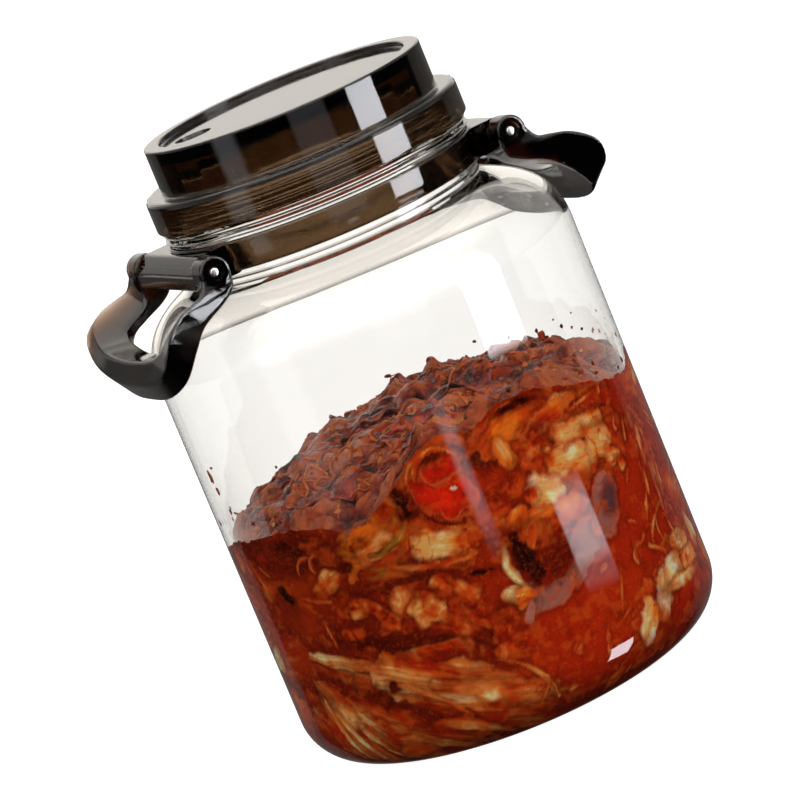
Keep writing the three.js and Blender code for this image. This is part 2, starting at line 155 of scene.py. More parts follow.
# Camera: where the photograph was taken from
CAMERA_AZIMUTH = -19.67
PHOTO_SIDE = CAMERA_AZIMUTH - 90
CAMERA_ELEVATION = 11.4
CAMERA_DISTANCE = 1757.6
CAMERA_AIM_HEIGHT = 127.5
CAMERA_LEFT_OF_AXIS = 2.43
CAMERA_ROLL = -22.4
LENS_PIXELS = 4345
PHOTO_WIDTH_PIXELS = 800
SENSOR_WIDTH = 36

# The pieces that show on the photographed side, as PressedFood.press takes them
# The near-black pieces below are painted shade in deep hollows, and the small pale glint on the pepper is a painted
# highlight.
FRONT_PIECES = (
    # broad food behind the rest
    ("chunk", -22, 64, 64, 26, -6, 0, 0.2, 0.3),
    ("chunk", -3, 49, 34, 26, -34, 0, 0.18, 0.2),
    ("stem", -42, 25, 92, 42, -30, 0, 0.25, 0.25),
    ("stem", -8, 12, 60, 20, -26, 0, 0.2, 0.4),
    ("amber", 30, 115, 68, 22, -2, 0, 0.3, 0.2),
    ("brine", 42, 112, 40, 10, -10, 0, 0.6, 0),
    ("amber", -7, 88, 34, 24, -20, 0, 0.4, 0),
    ("amber", -21, 96, 31, 17, 12, 0, 0.5, 0),
    ("amber", 41, 96, 38, 30, -8, 0, 0.3, 0.1),
    ("chunk", 14, 92, 17, 16, 10, 0, 0.1, 0.3),
    ("stem", 64, 78, 50, 22, 84, 0, 0.1, 0.35),
    ("amber", 36, 12, 44, 10, 20, 0, 0.4, 0.1),
    ("amber", 54, 27, 56, 26, 26, 0, 0.3, 0.15),
    ("chunk", -64, 52, 34, 22, 60, 0, 0.2, 0.5),
    # dark bands and skins
    ("skin", -53, 99, 76, 16, -5, 0, 0.35, 0),
    ("maroon", -45, 99, 34, 9, -12, 0, 0.45, 0),
    ("maroon", -24, 53, 62, 9, -15, 0, 0.4, 0),
    ("skin", -20, 78.5, 40, 6, -3, 0, 0.3, 0),
    ("maroon", -46, 58, 30, 9, -12, 0, 0.9, 0.3),
    ("maroon", -60, 70, 30, 14, 70, 0, 0.8, 0.4),
    # left, upper
    ("shred", -46, 95, 12, 1.5, 40, 6, 0.4, 0.2),
    ("shred", -42, 94, 9, 1.4, 70, 5, 0.5, 0.2),
    ("stem", -67, 90, 22, 11, -58, 0, 0.35, 0.1),
    ("shred", -65, 88, 16, 1.3, -62, 0, 0.6, 0),
    ("shred", -61, 92, 9, 1.2, -40, 0, 0.5, 0.1),
    ("dark", -55.5, 82, 10, 7, -40, 0, 0.4, 0),
    ("stem", -45, 78, 12, 2.6, -12, 0, 0.5, 0.2),
    ("chunk", -39, 85, 17, 8, 20, 0, 0.62, 0),
    ("maroon", -33, 90, 7, 6, 0, 0, 0.3, 0),
    ("white", -21.5, 93, 16.8, 9, 16, 0, 0.2, 0.1),
    ("olive", -21, 83, 20, 8, -6, 0, 0.25, 0.45),
    ("olive", -17, 93.2, 28, 3.4, 26, -21, 0.35, 0),
    ("dark", -11, 107, 16, 8.5, -66, 0, 0.3, 0),
    ("leaf", -18, 112, 22, 10, -60, 0, 0.4, 0.2),
    ("white", -6.5, 87.2, 18, 12, -14, 0, 0.35, 0),
    ("chunk", -11, 80, 20, 4, -16, 0, 0.4, 0.2),
    ("shred", -12, 80.3, 46, 2.2, -15, -70, 0.45, 0.1),
    ("dark", 0.5, 70.4, 11, 2.2, -9, 0, 0.5, 0),
    # red pepper with its ribbons
    ("frill", 0, 120, 42, 18, 8, 15, 0.3, 0.1),
    ("pepper", 0, 106, 29, 25, -58, 0, 0.5, 0),
    ("pepper", 1, 115, 20, 12, 0, 0, 0.3, 0),
    # painted shade along the pepper's lower edge
    ("maroon", -4, 94.3, 22, 2.4, -36, -18, 0.6, 0),
    ("shred", -4, 93, 20, 1.2, -36, -18, 0.5, 0.1),
    ("maroon", -1, 121.5, 13, 7, 0, 0, 0.7, 0),
    ("frill", 0, 127, 38, 5.5, 6, 15, 0.55, 0),
    ("frill", 0, 122.5, 26, 2.6, 4, 10, 0.5, 0),
    ("frill", -11, 118.5, 20, 6, 42, 0, 0.55, 0),
    ("frill", 11.5, 124, 16, 6, -48, 0, 0.5, 0),
    # painted highlight on the red pepper
    ("glint", 2.4, 105.4, 3, 1.3, -30, 0, 0.6, 0),
    ("maroon", 11.6, 112, 11, 8, -70, 0, 0.4, 0),
    # arch on the right
    ("amber", 26, 121, 50, 15, -3, 30, 0.38, 0),
    ("frill", 25, 128.5, 46, 4, -2, 26, 0.5, 0),
    ("dark", 25.5, 125.2, 19, 4, -3, 34, 0.5, 0),
    # painted glint: a thin pale line above the dark slot
    ("shred", 21.5, 126.6, 10, 0.9, 4, 0, 0.5, 0),
    ("leaf", 34, 115, 28, 7, 8, 0, 0.55, 0),
    ("shred", 46, 112.5, 20, 1.2, 4, 0, 0.3, 0.2),
    ("amber", 17.5, 109, 14, 5.5, -78, 0, 0.5, 0),
    ("chunk", 24.5, 103, 14, 9, 16, 0, 0.42, 0.1),
    ("chunk", 22, 100.5, 8, 5, -60, 0, 0.55, 0),
    ("chunk", 29.5, 104, 5, 4, 0, 0, 0.65, 0),
    ("frill", 55.5, 119, 20, 3, 62, 0, 0.5, 0),
    ("leaf", 49, 119.5, 24, 8, -22, 0, 0.5, 0.2),
    # striped cream slabs
    ("white", 40.5, 103.5, 26.4, 9.6, -8, 0, 0.22, 0),
    ("white", 35.5, 93.5, 25.2, 14.4, -12, 0, 0.2, 0),
    ("white", 45, 95.5, 14.4, 10.8, -14, 0, 0.15, 0),
    ("chunk", 49, 87, 9, 7, -10, 0, 0.5, 0),
    ("chunk", 51.2, 82, 5, 4.5, 0, 0, 0.6, 0),
    ("chunk", 41, 86, 9, 4, 6, 0, 0.4, 0.2),
    # white chunk and the amber below it
    ("amber", 21, 78.5, 36, 13, 4, 0, 0.42, 0),
    ("amber", 14, 83.5, 12, 9, 50, 0, 0.4, 0),
    ("white", 25, 88.3, 18, 14.4, -30, 0, 0.6, 0),
    ("chunk", 20.6, 90, 7, 5, 70, 0, 0.5, 0),
    ("chunk", 29.4, 78, 11, 9, 10, 0, 0.55, 0),
    ("olive", 19.5, 74.5, 9, 8, 70, 0, 0.1, 0.3),
    ("maroon", 22, 65, 24, 14, 22, 0, 0.75, 0),
    ("stem", 7.6, 70, 29, 4, 82, 13, 0.65, 0),
    ("dark", 12.9, 67.5, 25, 9.5, -74, 0, 0.2, 0),
    ("amber", 16.5, 75, 9, 3.4, 66, 0, 0.45, 0),
    # the long pale skin
    ("mauve", 28, 60.5, 30, 12, 46, 0, 0.5, 0),
    ("mauve", 39.5, 72, 25, 13.5, 62, 0, 0.6, 0),
    ("mauve", 15.5, 50, 26, 9.5, 3, -22, 0.35, 0),
    ("slate", 41.8, 73.5, 13, 8.5, 64, 0, 0.45, 0),
    ("maroon", 20, 59, 16, 7, 20, 0, 0.6, 0.1),
    ("white", 6, 56, 10.8, 6, -30, 0, 0.35, 0),
    ("amber", 8.8, 54, 8, 6, 20, 0, 0.55, 0),
    ("mauve", 8.3, 47.2, 9, 3.6, 60, 0, 0.95, 0),
    # row of chunks
    ("chunk", -33.5, 71.5, 10, 9, 20, 0, 0.5, 0),
    ("chunk", -38, 62, 14, 9, -10, 0, 0.42, 0.1),
    ("chunk", -27.5, 66.5, 20, 6, -50, 0, 0.5, 0),
    ("chunk", -21, 69.5, 13, 8.5, -80, 0, 0.58, 0),
    ("chunk", -15.5, 63.5, 13, 11, 10, 0, 0.66, 0),
    ("chunk", -9, 72, 12, 9, -50, 0, 0.5, 0),
    ("chunk", -4.6, 66, 12, 8, -70, 0, 0.5, 0),
    ("chunk", -45, 65, 9, 5, -70, 0, 0.35, 0.3),
    ("shred", -45.2, 64, 11, 1.3, -80, 0, 0.6, 0.1),
    ("chunk", 1, 47, 16, 8, 60, 0, 0.35, 0.1),
    ("chunk", -3, 53, 14, 7, -40, 0, 0.3, 0.1),
    ("chunk", 0, 40, 14, 8, 70, 0, 0.32, 0.1),
    # stems in the lower left
    ("stem", -46.5, 51.4, 37, 5, -15, 0, 0.62, 0),
    ("stem", -38, 47.5, 20, 3, -17, 0, 0.6, 0.1),
    ("shred", -46, 42, 10, 1.5, 58, 7, 0.4, 0.1),
    ("shred", -41.5, 40.5, 9, 1.4, -46, -7, 0.4, 0.1),
    ("maroon", -50, 43, 20, 7, -30, 0, 0.9, 0.2),
    ("leaf", -18, 44, 34, 9, -8, 0, 0.3, 0.2),
    ("stem", -15, 30, 66, 18, -23, 0, 0.55, 0),
    ("stem", -8, 24.5, 42, 8, -25, 0, 0.62, 0),
    ("stem", -34, 33.3, 24, 4.2, -24, 0, 0.66, 0),
    ("maroon", -30, 27, 36, 7, -32, 0, 0.65, 0),
    ("dark", -32, 36.8, 6, 5.5, 10, 0, 0.5, 0),
    ("shred", -23.5, 30, 32, 1.5, -38, 60, 0.5, 0),
    ("shred", -22, 29, 30, 1.2, -41, 60, 0.5, 0.1),
    ("stem", -51, 22, 48, 24, -58, 60, 0.5, 0),
    ("stem", -46, 27, 38, 3.2, -38, 60, 0.75, 0),
    ("stem", -48, 23, 36, 3.4, -49, 70, 0.8, 0),
    ("stem", -51.5, 21, 34, 3, -62, 80, 0.75, 0),
    ("stem", -55.5, 21, 30, 3, -74, 0, 0.7, 0),
    ("white", -51, 29, 14.4, 7.2, -60, 0, 0.2, 0.2),
    ("stem", -36, 17, 34, 6, -36, 50, 0.55, 0.1),
    ("stem", -29, 11, 42, 7, -28, 50, 0.4, 0.1),
    ("amber", -35, 7.5, 16, 8, 4, 0, 0.45, 0),
    ("stem", -16, 13, 34, 5, -30, 40, 0.45, 0.1),
    ("shred", 2.6, 28, 30, 1.6, -50, 28, 0.55, 0),
    ("shred", 5, 24.5, 26, 1.4, -56, 22, 0.5, 0),
    ("shred", 4, 15, 16, 1.2, 50, 20, 0.4, 0.1),
    ("shred", -2, 10, 14, 1.4, -20, 14, 0.35, 0.2),
    # cream slabs in the lower right
    ("white", 39.5, 21.5, 18, 10.2, 50, 0, 0.4, 0),
    ("white", 47.5, 27, 19.2, 12, 58, 0, 0.45, 0),
    ("white", 55.5, 33, 16.8, 10.8, 12, 0, 0.5, 0),
    ("white", 64.5, 32, 20.4, 9.6, -6, 0, 0.45, 0),
    ("white", 64, 40.5, 15.6, 7.2, -8, 0, 0.4, 0),
    ("white", 58, 26.4, 31.2, 4.1, -4, 0, 0.35, 0),
    ("skin", 58, 17, 40, 13, 12, 0, 0.8, 0),
    # loops and shreds on the right
    ("shred", 60.5, 58, 46, 1.4, 0, 8.5, 0.5, 0),
    ("shred", 63.5, 54.5, 30, 1.3, 30, 7, 0.5, 0.1),
    ("shred", 55, 54.5, 20, 1.4, 34, 18, 0.5, 0),
    ("shred", 52, 43.5, 11, 1.8, -38, 0, 0.5, 0),
    ("shred", 42.6, 47.3, 11, 1.6, 70, 5, 0.5, 0),
    ("shred", 46.5, 50, 9, 1.4, 24, -6, 0.5, 0),
    ("shred", 54, 60.5, 13, 2.2, 54, 0, 0.6, 0),
    ("shred", 58.5, 70, 14, 2.4, 66, 0, 0.55, 0),
    ("shred", 62.4, 64, 20, 2.8, 80, 0, 0.55, 0),
    ("shred", 66, 66, 18, 2.4, 74, 0, 0.5, 0),
    ("shred", 62.5, 82, 18, 3.4, 74, 0, 0.62, 0),
    ("shred", 65.6, 78, 22, 2.2, 82, 0, 0.55, 0),
    ("shred", 60.3, 88, 12, 1.8, 84, 0, 0.5, 0.1),
    ("shred", 66, 94, 12, 3, -60, 0, 0.5, 0.1),
    ("shred", 57, 91, 9, 1.8, 64, 0, 0.5, 0),
    ("shred", 54, 97, 9, 1.6, 70, 5, 0.4, 0),
    ("shred", 51, 76, 6, 1.2, 50, 0, 0.4, 0.1),
    ("shred", 31.3, 50, 5, 3, 0, 0, 0.5, 0.1),
    ("shred", 34, 38, 16, 1.4, 66, 0, 0.45, 0.1),
    ("shred", 34.5, 30, 16, 1.2, 24, 0, 0.45, 0.1),
    ("shred", 24.8, 22, 12, 1.8, 76, 0, 0.45, 0),
    ("shred", 46, 59.6, 5, 1.4, -34, 0, 0.5, 0.1),
    ("shred", 29, 7, 5, 1.2, 40, 0, 0.4, 0.1),
    ("shred", 11.5, 12, 4, 3, 0, 0, 0.3, 0.2),
    ("shred", 16.5, 26, 5, 4, 40, 0, 0.2, 0.5),
)

# The studio: each panel is (left, right, bottom, top, softness) in degrees from the camera side,
# with its strength
ROOM_STRENGTH = 0.42
BACKDROP_STRENGTH = 1.2
WARM_LIGHT = (1, 0.95, 0.88)
COOL_LIGHT = (0.94, 0.95, 1)
CEILING_STRENGTH = 2.5
FRONT_STRENGTH = 2.6
SWEEP_STRENGTH = 0.12
SWEEP_RIGHT = 123
SWEEP_LEFT = -137
SWEEP_BOTTOM = -32
DARK_STRENGTH = 0.015
FLOOR_GLOW = 0.95
BACK_FLOOR_GLOW = 1.2
FRONT_FLOOR_GLOW = 0.15
BACK_FLOOR_START = 80
LIGHT_PANELS = (
    (48, 73, -11, 4, 0.5, 14),
    (48, 73, 4, 36, 0.5, 3),
    (50, 71, -14.5, -13.3, 0.8, 5),
    (50, 71, -15.4, -14.5, 0.8, 1.2),
    (50, 65, -36, -18, 0.5, 14),
    (-2, 28, -9.5, 12, 1, 0.5),
    (10, 17, -13.4, -11.6, 1.5, 2.2),
    (-66, -47, -12, 20, 2.5, 1.0),
)


def linear(red, green, blue):
    """A colour as a screen shows it, 0 to 255, in Blender's linear numbers."""
    values = np.array((red, green, blue)) / 255
    curve = np.where(values <= 0.04045, values / 12.92, ((values + 0.055) / 1.055) ** 2.4)
    return curve


CREAM = linear(250, 226, 170)
WHITE_CREAM = linear(255, 242, 224)
STRAW = linear(232, 176, 104)
TAN = linear(206, 122, 58)
AMBER = linear(226, 122, 34)
RUST = linear(184, 74, 26)
ORANGE = linear(204, 74, 18)
PEPPER_RED = linear(206, 34, 14)
BRINE = linear(166, 38, 12)
BRINE_DEEP = linear(112, 26, 10)
MAROON = linear(84, 20, 12)
NEAR_BLACK = linear(26, 7, 6)
MAUVE = linear(150, 100, 96)
SLATE = linear(84, 62, 70)
OLIVE = linear(150, 116, 40)
CRUST_DARK = linear(26, 5, 4)
CRUST_DEEP = linear(88, 20, 12)
CRUST = linear(146, 48, 26)
CRUST_PALE = linear(200, 98, 54)
# pale colour of the painted sheen on the wet top
CRUST_PAINTED_SHEEN = linear(218, 172, 150)

# Pieces for the other sides: how many, kinds, and the ranges of length, width, paleness and veil
BACK_SEED = 5
BACK_MIX = (
    (26, ("stem", "chunk", "amber", "leaf"), (44, 80), (20, 36), (0.1, 0.3), (0.2, 0.4)),
    (26, ("stem", "amber", "leaf", "skin", "maroon"), (26, 50), (10, 20), (0.25, 0.5), (0, 0.25)),
    (20, ("stem", "white", "amber", "frill"), (18, 40), (7, 14), (0.3, 0.55), (0, 0.1)),
    (36, ("chunk", "chunk", "chunk", "white", "pepper"), (7, 16), (6, 11), (0.4, 0.6), (0, 0.1)),
    # the near-black pieces in this group are painted shade in hollows
    (12, ("dark", "maroon", "mauve", "pepper"), (10, 24), (6, 12), (0.3, 0.6), (0, 0.1)),
    (44, ("shred",), (8, 34), (1.2, 3), (0.4, 0.6), (0, 0.1)),
)

# Leaves on the top: place, length, width, turn, rise and kind
TOP_LEAVES = (
    (-50, -42, 26, 11, 10, 3, "red"), (-62, -22, 20, 8, 60, 2, "red"), (-20, -66, 22, 8, -10, 3, "rust"),
    (0, -56, 34, 12, -25, 4, "amber"), (26, -54, 30, 10, 5, 4, "rust"), (44, -38, 34, 12, 10, 3, "brown"),
    (-36, -28, 30, 9, -12, 2, "brown"), (-10, -34, 24, 8, -30, 3, "red"), (16, -24, 30, 10, 4, 3, "brown"),
    (40, -8, 32, 11, -20, 3, "brown"), (-44, 6, 28, 9, -25, 3, "rust"), (-16, 4, 30, 10, -14, 3, "brown"),
)
TOP_COLOURS = {
    "red": (CRUST_DARK, BRINE_DEEP, BRINE, ORANGE), "rust": (CRUST_DARK, CRUST, RUST, AMBER),
    "amber": (BRINE, ORANGE, AMBER, STRAW), "brown": (CRUST_DARK, CRUST_DEEP, CRUST, CRUST_PALE),
}
TOP_KINDS = ("brown", "brown", "brown", "red", "rust")
TOP_SEED = 3
TOP_COUNT = 150
STRAND_SEED = 6
STRAND_COUNT = 90

# Splashes on the glass above the kimchi: angle, height, half width, half height
SPLASHES = ((-70, 134, 1.4, 3), (-69, 128, 1.2, 1.6), (-67, 138, 0.8, 0.8), (41, 143, 2.2, 2), (42.5, 141.5, 1, 0.8),
            (49, 142, 0.8, 0.9), (53, 139, 0.7, 0.6), (57, 136, 0.8, 0.7), (55, 144, 0.5, 0.5), (47, 146, 0.5, 0.4))
SPLASH_SEED = 9
SPLASH_COUNT = 50

NOISE_TABLE = np.random.default_rng(11).random((NOISE_CELLS, NOISE_CELLS)) * 2 - 1


def smooth_step(low, high, value):
    share = np.clip((value - low) / (high - low), 0, 1)
    return share * share * (3 - 2 * share)


def mix(first, second, share):
    share = np.asarray(share)[..., None]
    return np.asarray(first) * (1 - share) + np.asarray(second) * share


def ramp(share, *colours):
    """A colour from a row of colours, for shares from 0 to 1."""
    share = np.clip(share, 0, 0.9999) * (len(colours) - 1)
    low = share.astype(int)
    table = np.array(colours)
    part = (share - low)[..., None]
    return table[low] * (1 - part) + table[low + 1] * part


def cloud(x, y, seed):
    """Smooth seeded unevenness between -1 and 1, with features about one unit across."""
    x, y = x + seed * 31.7, y + seed * 17.3
    i, j = np.floor(x).astype(int), np.floor(y).astype(int)
    u, v = x - i, y - j
    u, v = u * u * (3 - 2 * u), v * v * (3 - 2 * v)
    i, j, k, m = i % NOISE_CELLS, j % NOISE_CELLS, (i + 1) % NOISE_CELLS, (j + 1) % NOISE_CELLS
    low = NOISE_TABLE[i, j] * (1 - u) + NOISE_TABLE[k, j] * u
    high = NOISE_TABLE[i, m] * (1 - u) + NOISE_TABLE[k, m] * u
    return low * (1 - v) + high * v


def clouds(x, y, size, seed, layers=3):
    """Clouds of one size in mm with finer ones on them, mostly between -1 and 1."""
    total, weight = 0, 0
    for k in range(layers):
        total = total + cloud(x / size * 2 ** k, y / size * 2 ** k, seed + 5 * k) * 0.55 ** k
        weight += 0.55 ** (2 * k)
    return total * 1.6 / math.sqrt(weight)


def arc(centre, radius, start, stop, steps):
    angles = np.radians(np.linspace(start, stop, steps + 1))
    return [(centre[0] + radius * math.cos(a), centre[1] + radius * math.sin(a)) for a in angles]


def rounded(outline, radius, steps=4):
    """An outline whose corners are cut back by up to a radius and rounded."""
    made = []
    count = len(outline)
    for i, corner in enumerate(outline):
        corner = np.array(corner, float)
        before = np.array(outline[i - 1], float) - corner
        after = np.array(outline[(i + 1) % count], float) - corner
        reach = min(radius, 0.45 * np.linalg.norm(before), 0.45 * np.linalg.norm(after))
        first = corner + before / np.linalg.norm(before) * reach
        last = corner + after / np.linalg.norm(after) * reach
        for t in np.linspace(0, 1, steps + 1):
            made.append(tuple(first * (1 - t) ** 2 + corner * 2 * t * (1 - t) + last * t * t))
    return made


def revolve(outline, sides):
    """Points and faces of an outline of (radius, height) turned about Z, its outside going up."""
    turn = np.linspace(0, 2 * np.pi, sides, endpoint=False)
    points, rows = [], []
    for radius, height in outline:
        start = len(points)
        if radius < 1e-6:
            points.append((0, 0, height))
            rows.append([start] * sides)
        else:
            points.extend((radius * math.cos(a), radius * math.sin(a), height) for a in turn)
            rows.append(list(range(start, start + sides)))
    if outline[0][0] > 1e-6:
        rows.append(rows[0])
    faces = []
    for low, high in zip(rows, rows[1:]):
        for i in range(sides):
            j = (i + 1) % sides
            face = list(dict.fromkeys((low[i], low[j], high[j], high[i])))
            if len(face) > 2:
                faces.append(face)
    return np.array(points), faces


def loft(sections):
    """Points and faces of closed sections joined in order, with flat ends."""
    count = len(sections[0])
    points = np.concatenate([np.asarray(s, float) for s in sections])
    faces = [list(range(count))[::-1], [len(points) - count + j for j in range(count)]]
    for i in range(len(sections) - 1):
        for j in range(count):
            k = (j + 1) % count
            faces.append([i * count + j, i * count + k, (i + 1) * count + k, (i + 1) * count + j])
    return points, faces


def raw_object(name, points, faces):
    mesh = bpy.data.meshes.new(name)
    mesh.from_pydata((np.asarray(points, float) * MM).tolist(), [], [list(map(int, f)) for f in faces])
    piece = bpy.data.objects.new(name, mesh)
    bpy.context.scene.collection.objects.link(piece)
    return piece


def face_outwards(piece):
    """Turns the faces of a closed mesh so that they all point out of it."""
    import bmesh
    work = bmesh.new()
    work.from_mesh(piece.data)
    bmesh.ops.recalc_face_normals(work, faces=work.faces)
    work.to_mesh(piece.data)
    work.free()


def finish_piece(piece, material, body, replaced=(), sharp=40):
    """Smooth shading, material and body of a finished piece."""
    mesh = piece.data
    mesh.materials.clear()
    mesh.materials.append(material)
    mesh.shade_smooth()
    if sharp:
        mesh.set_sharp_from_angle(angle=math.radians(sharp))
    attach(piece, body)
    if replaced:
        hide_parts(*replaced)
    return piece


def apply_modifiers(piece):
    """Makes the piece's modified shape its own mesh."""
    graph = bpy.context.evaluated_depsgraph_get()
    made = bpy.data.meshes.new_from_object(piece.evaluated_get(graph))
    piece.modifiers.clear()
    piece.data = made
    return piece


def cut_or_join(piece, other, operation):
    modifier = piece.modifiers.new("join", "BOOLEAN")
    modifier.operation = operation
    modifier.solver = "EXACT"
    modifier.object = other
    apply_modifiers(piece)
    bpy.data.objects.remove(other)
    return piece


def bar_along_y(name, radius, low, high, x, z, edge=0.0, sides=64):
    """A round bar along Y, with its two edges rounded."""
    outline = [(0, low), (radius - edge, low)]
    outline += arc((radius - edge, low + edge), edge, -90, 0, 4)[1:] if edge else [(radius, low)]
    outline += arc((radius - edge, high - edge), edge, 0, 90, 4) if edge else [(radius, high)]
    outline += [(0, high)]
    points, faces = revolve(outline, sides)
    turned = np.stack([points[:, 0] + x, points[:, 2], -points[:, 1] + z], axis=1)
    if not edge:
        outline = outline[:2]
    piece = raw_object(name, turned, faces)
    face_outwards(piece)
    return piece


class Shader:
    """A material's node tree, built a node at a time."""

    def __init__(self, name):
        self.material = bpy.data.materials.new(name)
        self.material.use_nodes = True
        self.tree = self.material.node_tree
        self.surface = self.tree.nodes["Principled BSDF"]
        self.output = self.tree.nodes["Material Output"]

    def node(self, kind, values=None, **settings):
        made = self.tree.nodes.new(kind)
        for key, value in settings.items():
            setattr(made, key, value)
        for key, value in (values or {}).items():
            if isinstance(value, bpy.types.NodeSocket):
                self.tree.links.new(value, made.inputs[key])
            else:
                made.inputs[key].default_value = value
        return made

    def set(self, **values):
        for key, value in values.items():
            socket = self.surface.inputs[key.replace("_", " ")]
            if isinstance(value, bpy.types.NodeSocket):
                self.tree.links.new(value, socket)
            else:
                socket.default_value = value

    def place(self):
        return self.node("ShaderNodeTexCoord").outputs["Object"]

    def attribute(self, name):
        return self.node("ShaderNodeAttribute", attribute_name=name).outputs["Color"]

    def blend(self, share, first, second):
        """One colour over another by a share. A plain colour is three numbers."""
        made = self.node("ShaderNodeMix", data_type="RGBA")
        for socket, value in (("Factor_Float", share), ("A_Color", first), ("B_Color", second)):
            target = next(item for item in made.inputs if item.identifier == socket)
            if isinstance(value, bpy.types.NodeSocket):
                self.tree.links.new(value, target)
            else:
                target.default_value = value if socket == "Factor_Float" else (*value, 1)
        return next(item for item in made.outputs if item.identifier == "Result_Color")

    def absorb(self, colour, density):
        made = self.node("ShaderNodeVolumeAbsorption", {"Color": (*colour, 1), "Density": density})
        self.tree.links.new(made.outputs["Volume"], self.output.inputs["Volume"])

    def noise(self, scale, detail=3, roughness=0.5, vector=None, distortion=0.0):
        made = self.node("ShaderNodeTexNoise", {
            "Vector": vector or self.place(), "Scale": scale, "Detail": detail,
            "Roughness": roughness, "Distortion": distortion})
        return made.outputs["Fac"]

    def ramp(self, fac, stops):
        made = self.node("ShaderNodeValToRGB", {"Fac": fac})
        elements = made.color_ramp.elements
        while len(elements) < len(stops):
            elements.new(0.5)
        for element, (place, colour) in zip(elements, stops):
            element.position = place
            element.color = (*colour, 1)
        return made.outputs["Color"]

    def range(self, value, low, high, to_low, to_high):
        made = self.node("ShaderNodeMapRange", {
            "Value": value, "From Min": low, "From Max": high, "To Min": to_low, "To Max": to_high})
        return made.outputs["Result"]

    def bump(self, height, distance, strength=1.0, normal=None):
        values = {"Height": height, "Distance": distance, "Strength": strength}
        if normal is not None:
            values["Normal"] = normal
        return self.node("ShaderNodeBump", values).outputs["Normal"]


def clear_glass():
    s = Shader("clear_glass")
    ripple = s.noise(9, 1, 0.4)
    s.set(Base_Color=(1, 1, 1, 1), Roughness=0.0, IOR=1.5, Transmission_Weight=1.0,
          Normal=s.bump(ripple, 0.0006, 0.12))
    s.absorb((0.66, 0.65, 0.6), 50)
    return s.material


def smoky_plastic(name, colour, density, roughness):
    """See-through brown plastic: its colour deepens with the thickness that light crosses."""
    s = Shader(name)
    grime = s.noise(60, 4, 0.6)
    fine = s.noise(900, 2, 0.5)
    s.set(Base_Color=(0.96, 0.95, 0.94, 1), IOR=1.5, Transmission_Weight=1.0,
          Roughness=s.range(grime, 0.3, 0.75, roughness * 0.6, roughness * 1.5),
          Normal=s.bump(fine, 0.00002, 0.3))
    s.absorb(colour, density)
    return s.material


def pin_steel():
    s = Shader("pin_steel")
    brushed = s.noise(1500, 2, 0.6)
    s.set(Base_Color=(0.72, 0.73, 0.75, 1), Metallic=1.0, Roughness=s.range(brushed, 0.3, 0.7, 0.16, 0.32))
    return s.material


def pressed_food():
    """Food and brine against the glass: the colours painted on its vertices, painted shade and highlights among them,
    with fine fibres along each piece.
    """
    s = Shader("food_on_glass")
    tint = s.attribute("tint")
    lay = s.node("ShaderNodeUVMap", uv_map="lay").outputs["UV"]
    stretched = s.node("ShaderNodeMapping", {"Vector": lay, "Scale": (0.12, 1.0, 1.0)}).outputs["Vector"]
    fibres = s.noise(1600, 3, 0.6, stretched)
    grain = s.noise(700, 4, 0.65)
    colour = s.blend(s.range(fibres, 0.5, 0.75, 0.0, 0.35), tint, BRINE)
    colour = s.blend(s.range(grain, 0.54, 0.75, 0.0, 0.3), colour, AMBER)
    speck = s.range(s.noise(640, 2, 0.6), 0.68, 0.76, 0.0, 0.6)
    colour = s.blend(speck, colour, MAROON * 0.7)
    s.set(Base_Color=colour, Roughness=s.range(grain, 0.3, 0.7, 0.6, 0.85), Specular_IOR_Level=0.0,
          Normal=s.bump(fibres, 0.0002, 0.5))
    return s.material


def wet_top(name="wet_top", specular=0.12):
    """The top of the kimchi: mottled and wrinkled, shining where it is wet."""
    s = Shader(name)
    given = s.node("ShaderNodeAttribute", attribute_name="tint")
    blotch = s.noise(420, 5, 0.65, distortion=0.8)
    grit = s.range(s.noise(1300, 3, 0.7), 0.58, 0.7, 0.0, 0.55)
    colour = s.blend(s.range(blotch, 0.46, 0.72, 0.0, 0.55), given.outputs["Color"], CRUST_DARK)
    colour = s.blend(grit, colour, RUST)
    grain = s.bump(s.noise(1100, 5, 0.7), 0.0003, 0.7)
    wet = s.node("ShaderNodeMath", {0: given.outputs["Alpha"], 1: s.range(blotch, 0.4, 0.6, 0.0, 0.9)},
                 operation="MULTIPLY").outputs[0]
    s.set(Base_Color=colour, Roughness=s.range(blotch, 0.3, 0.7, 0.14, 0.4), Specular_IOR_Level=specular,
          Coat_Weight=wet, Coat_Roughness=0.12, Normal=s.bump(s.noise(520, 4, 0.6, distortion=1.2), 0.0006, 0.8, grain))
    return s.material


def small_bits(name, first, second):
    """Small bits of food, each a little different."""
    s = Shader(name)
    patch = s.noise(320, 2, 0.5)
    fine = s.noise(2400, 3, 0.6)
    colour = s.blend(s.range(patch, 0.36, 0.64, 0.0, 1.0), first, second)
    s.set(Base_Color=colour, Roughness=s.range(fine, 0.3, 0.7, 0.25, 0.5), Specular_IOR_Level=0.15,
          Normal=s.bump(fine, 0.0001, 0.6))
    return s.material


def floor_finish(name, colour, diffuse, glow):
    s = Shader(name)
    s.set(Base_Color=(diffuse, diffuse, diffuse, 1), Roughness=1.0, Specular_IOR_Level=0.0,
          Emission_Color=(*colour, 1), Emission_Strength=glow)
    return s.material


GLASS = clear_glass()
LID_PLASTIC = smoky_plastic("smoky_lid", (0.47, 0.33, 0.15), 1500, 0.06)
HANDLE_PLASTIC = smoky_plastic("smoky_handle", (0.5, 0.3, 0.1), 850, 0.09)
STEEL = pin_steel()
PRESSED = pressed_food()
WET_TOP = wet_top()
WET_LEAF = wet_top("wet_leaf", 0.3)
PEPPER_BITS = small_bits("pepper_flakes", ORANGE, BRINE_DEEP)
SEED_BITS = small_bits("pepper_seeds", STRAW, TAN)
STEM_BITS = small_bits("stem_bits", TAN, RUST)
SPLASH = small_bits("dried_brine", RUST, BRINE_DEEP)


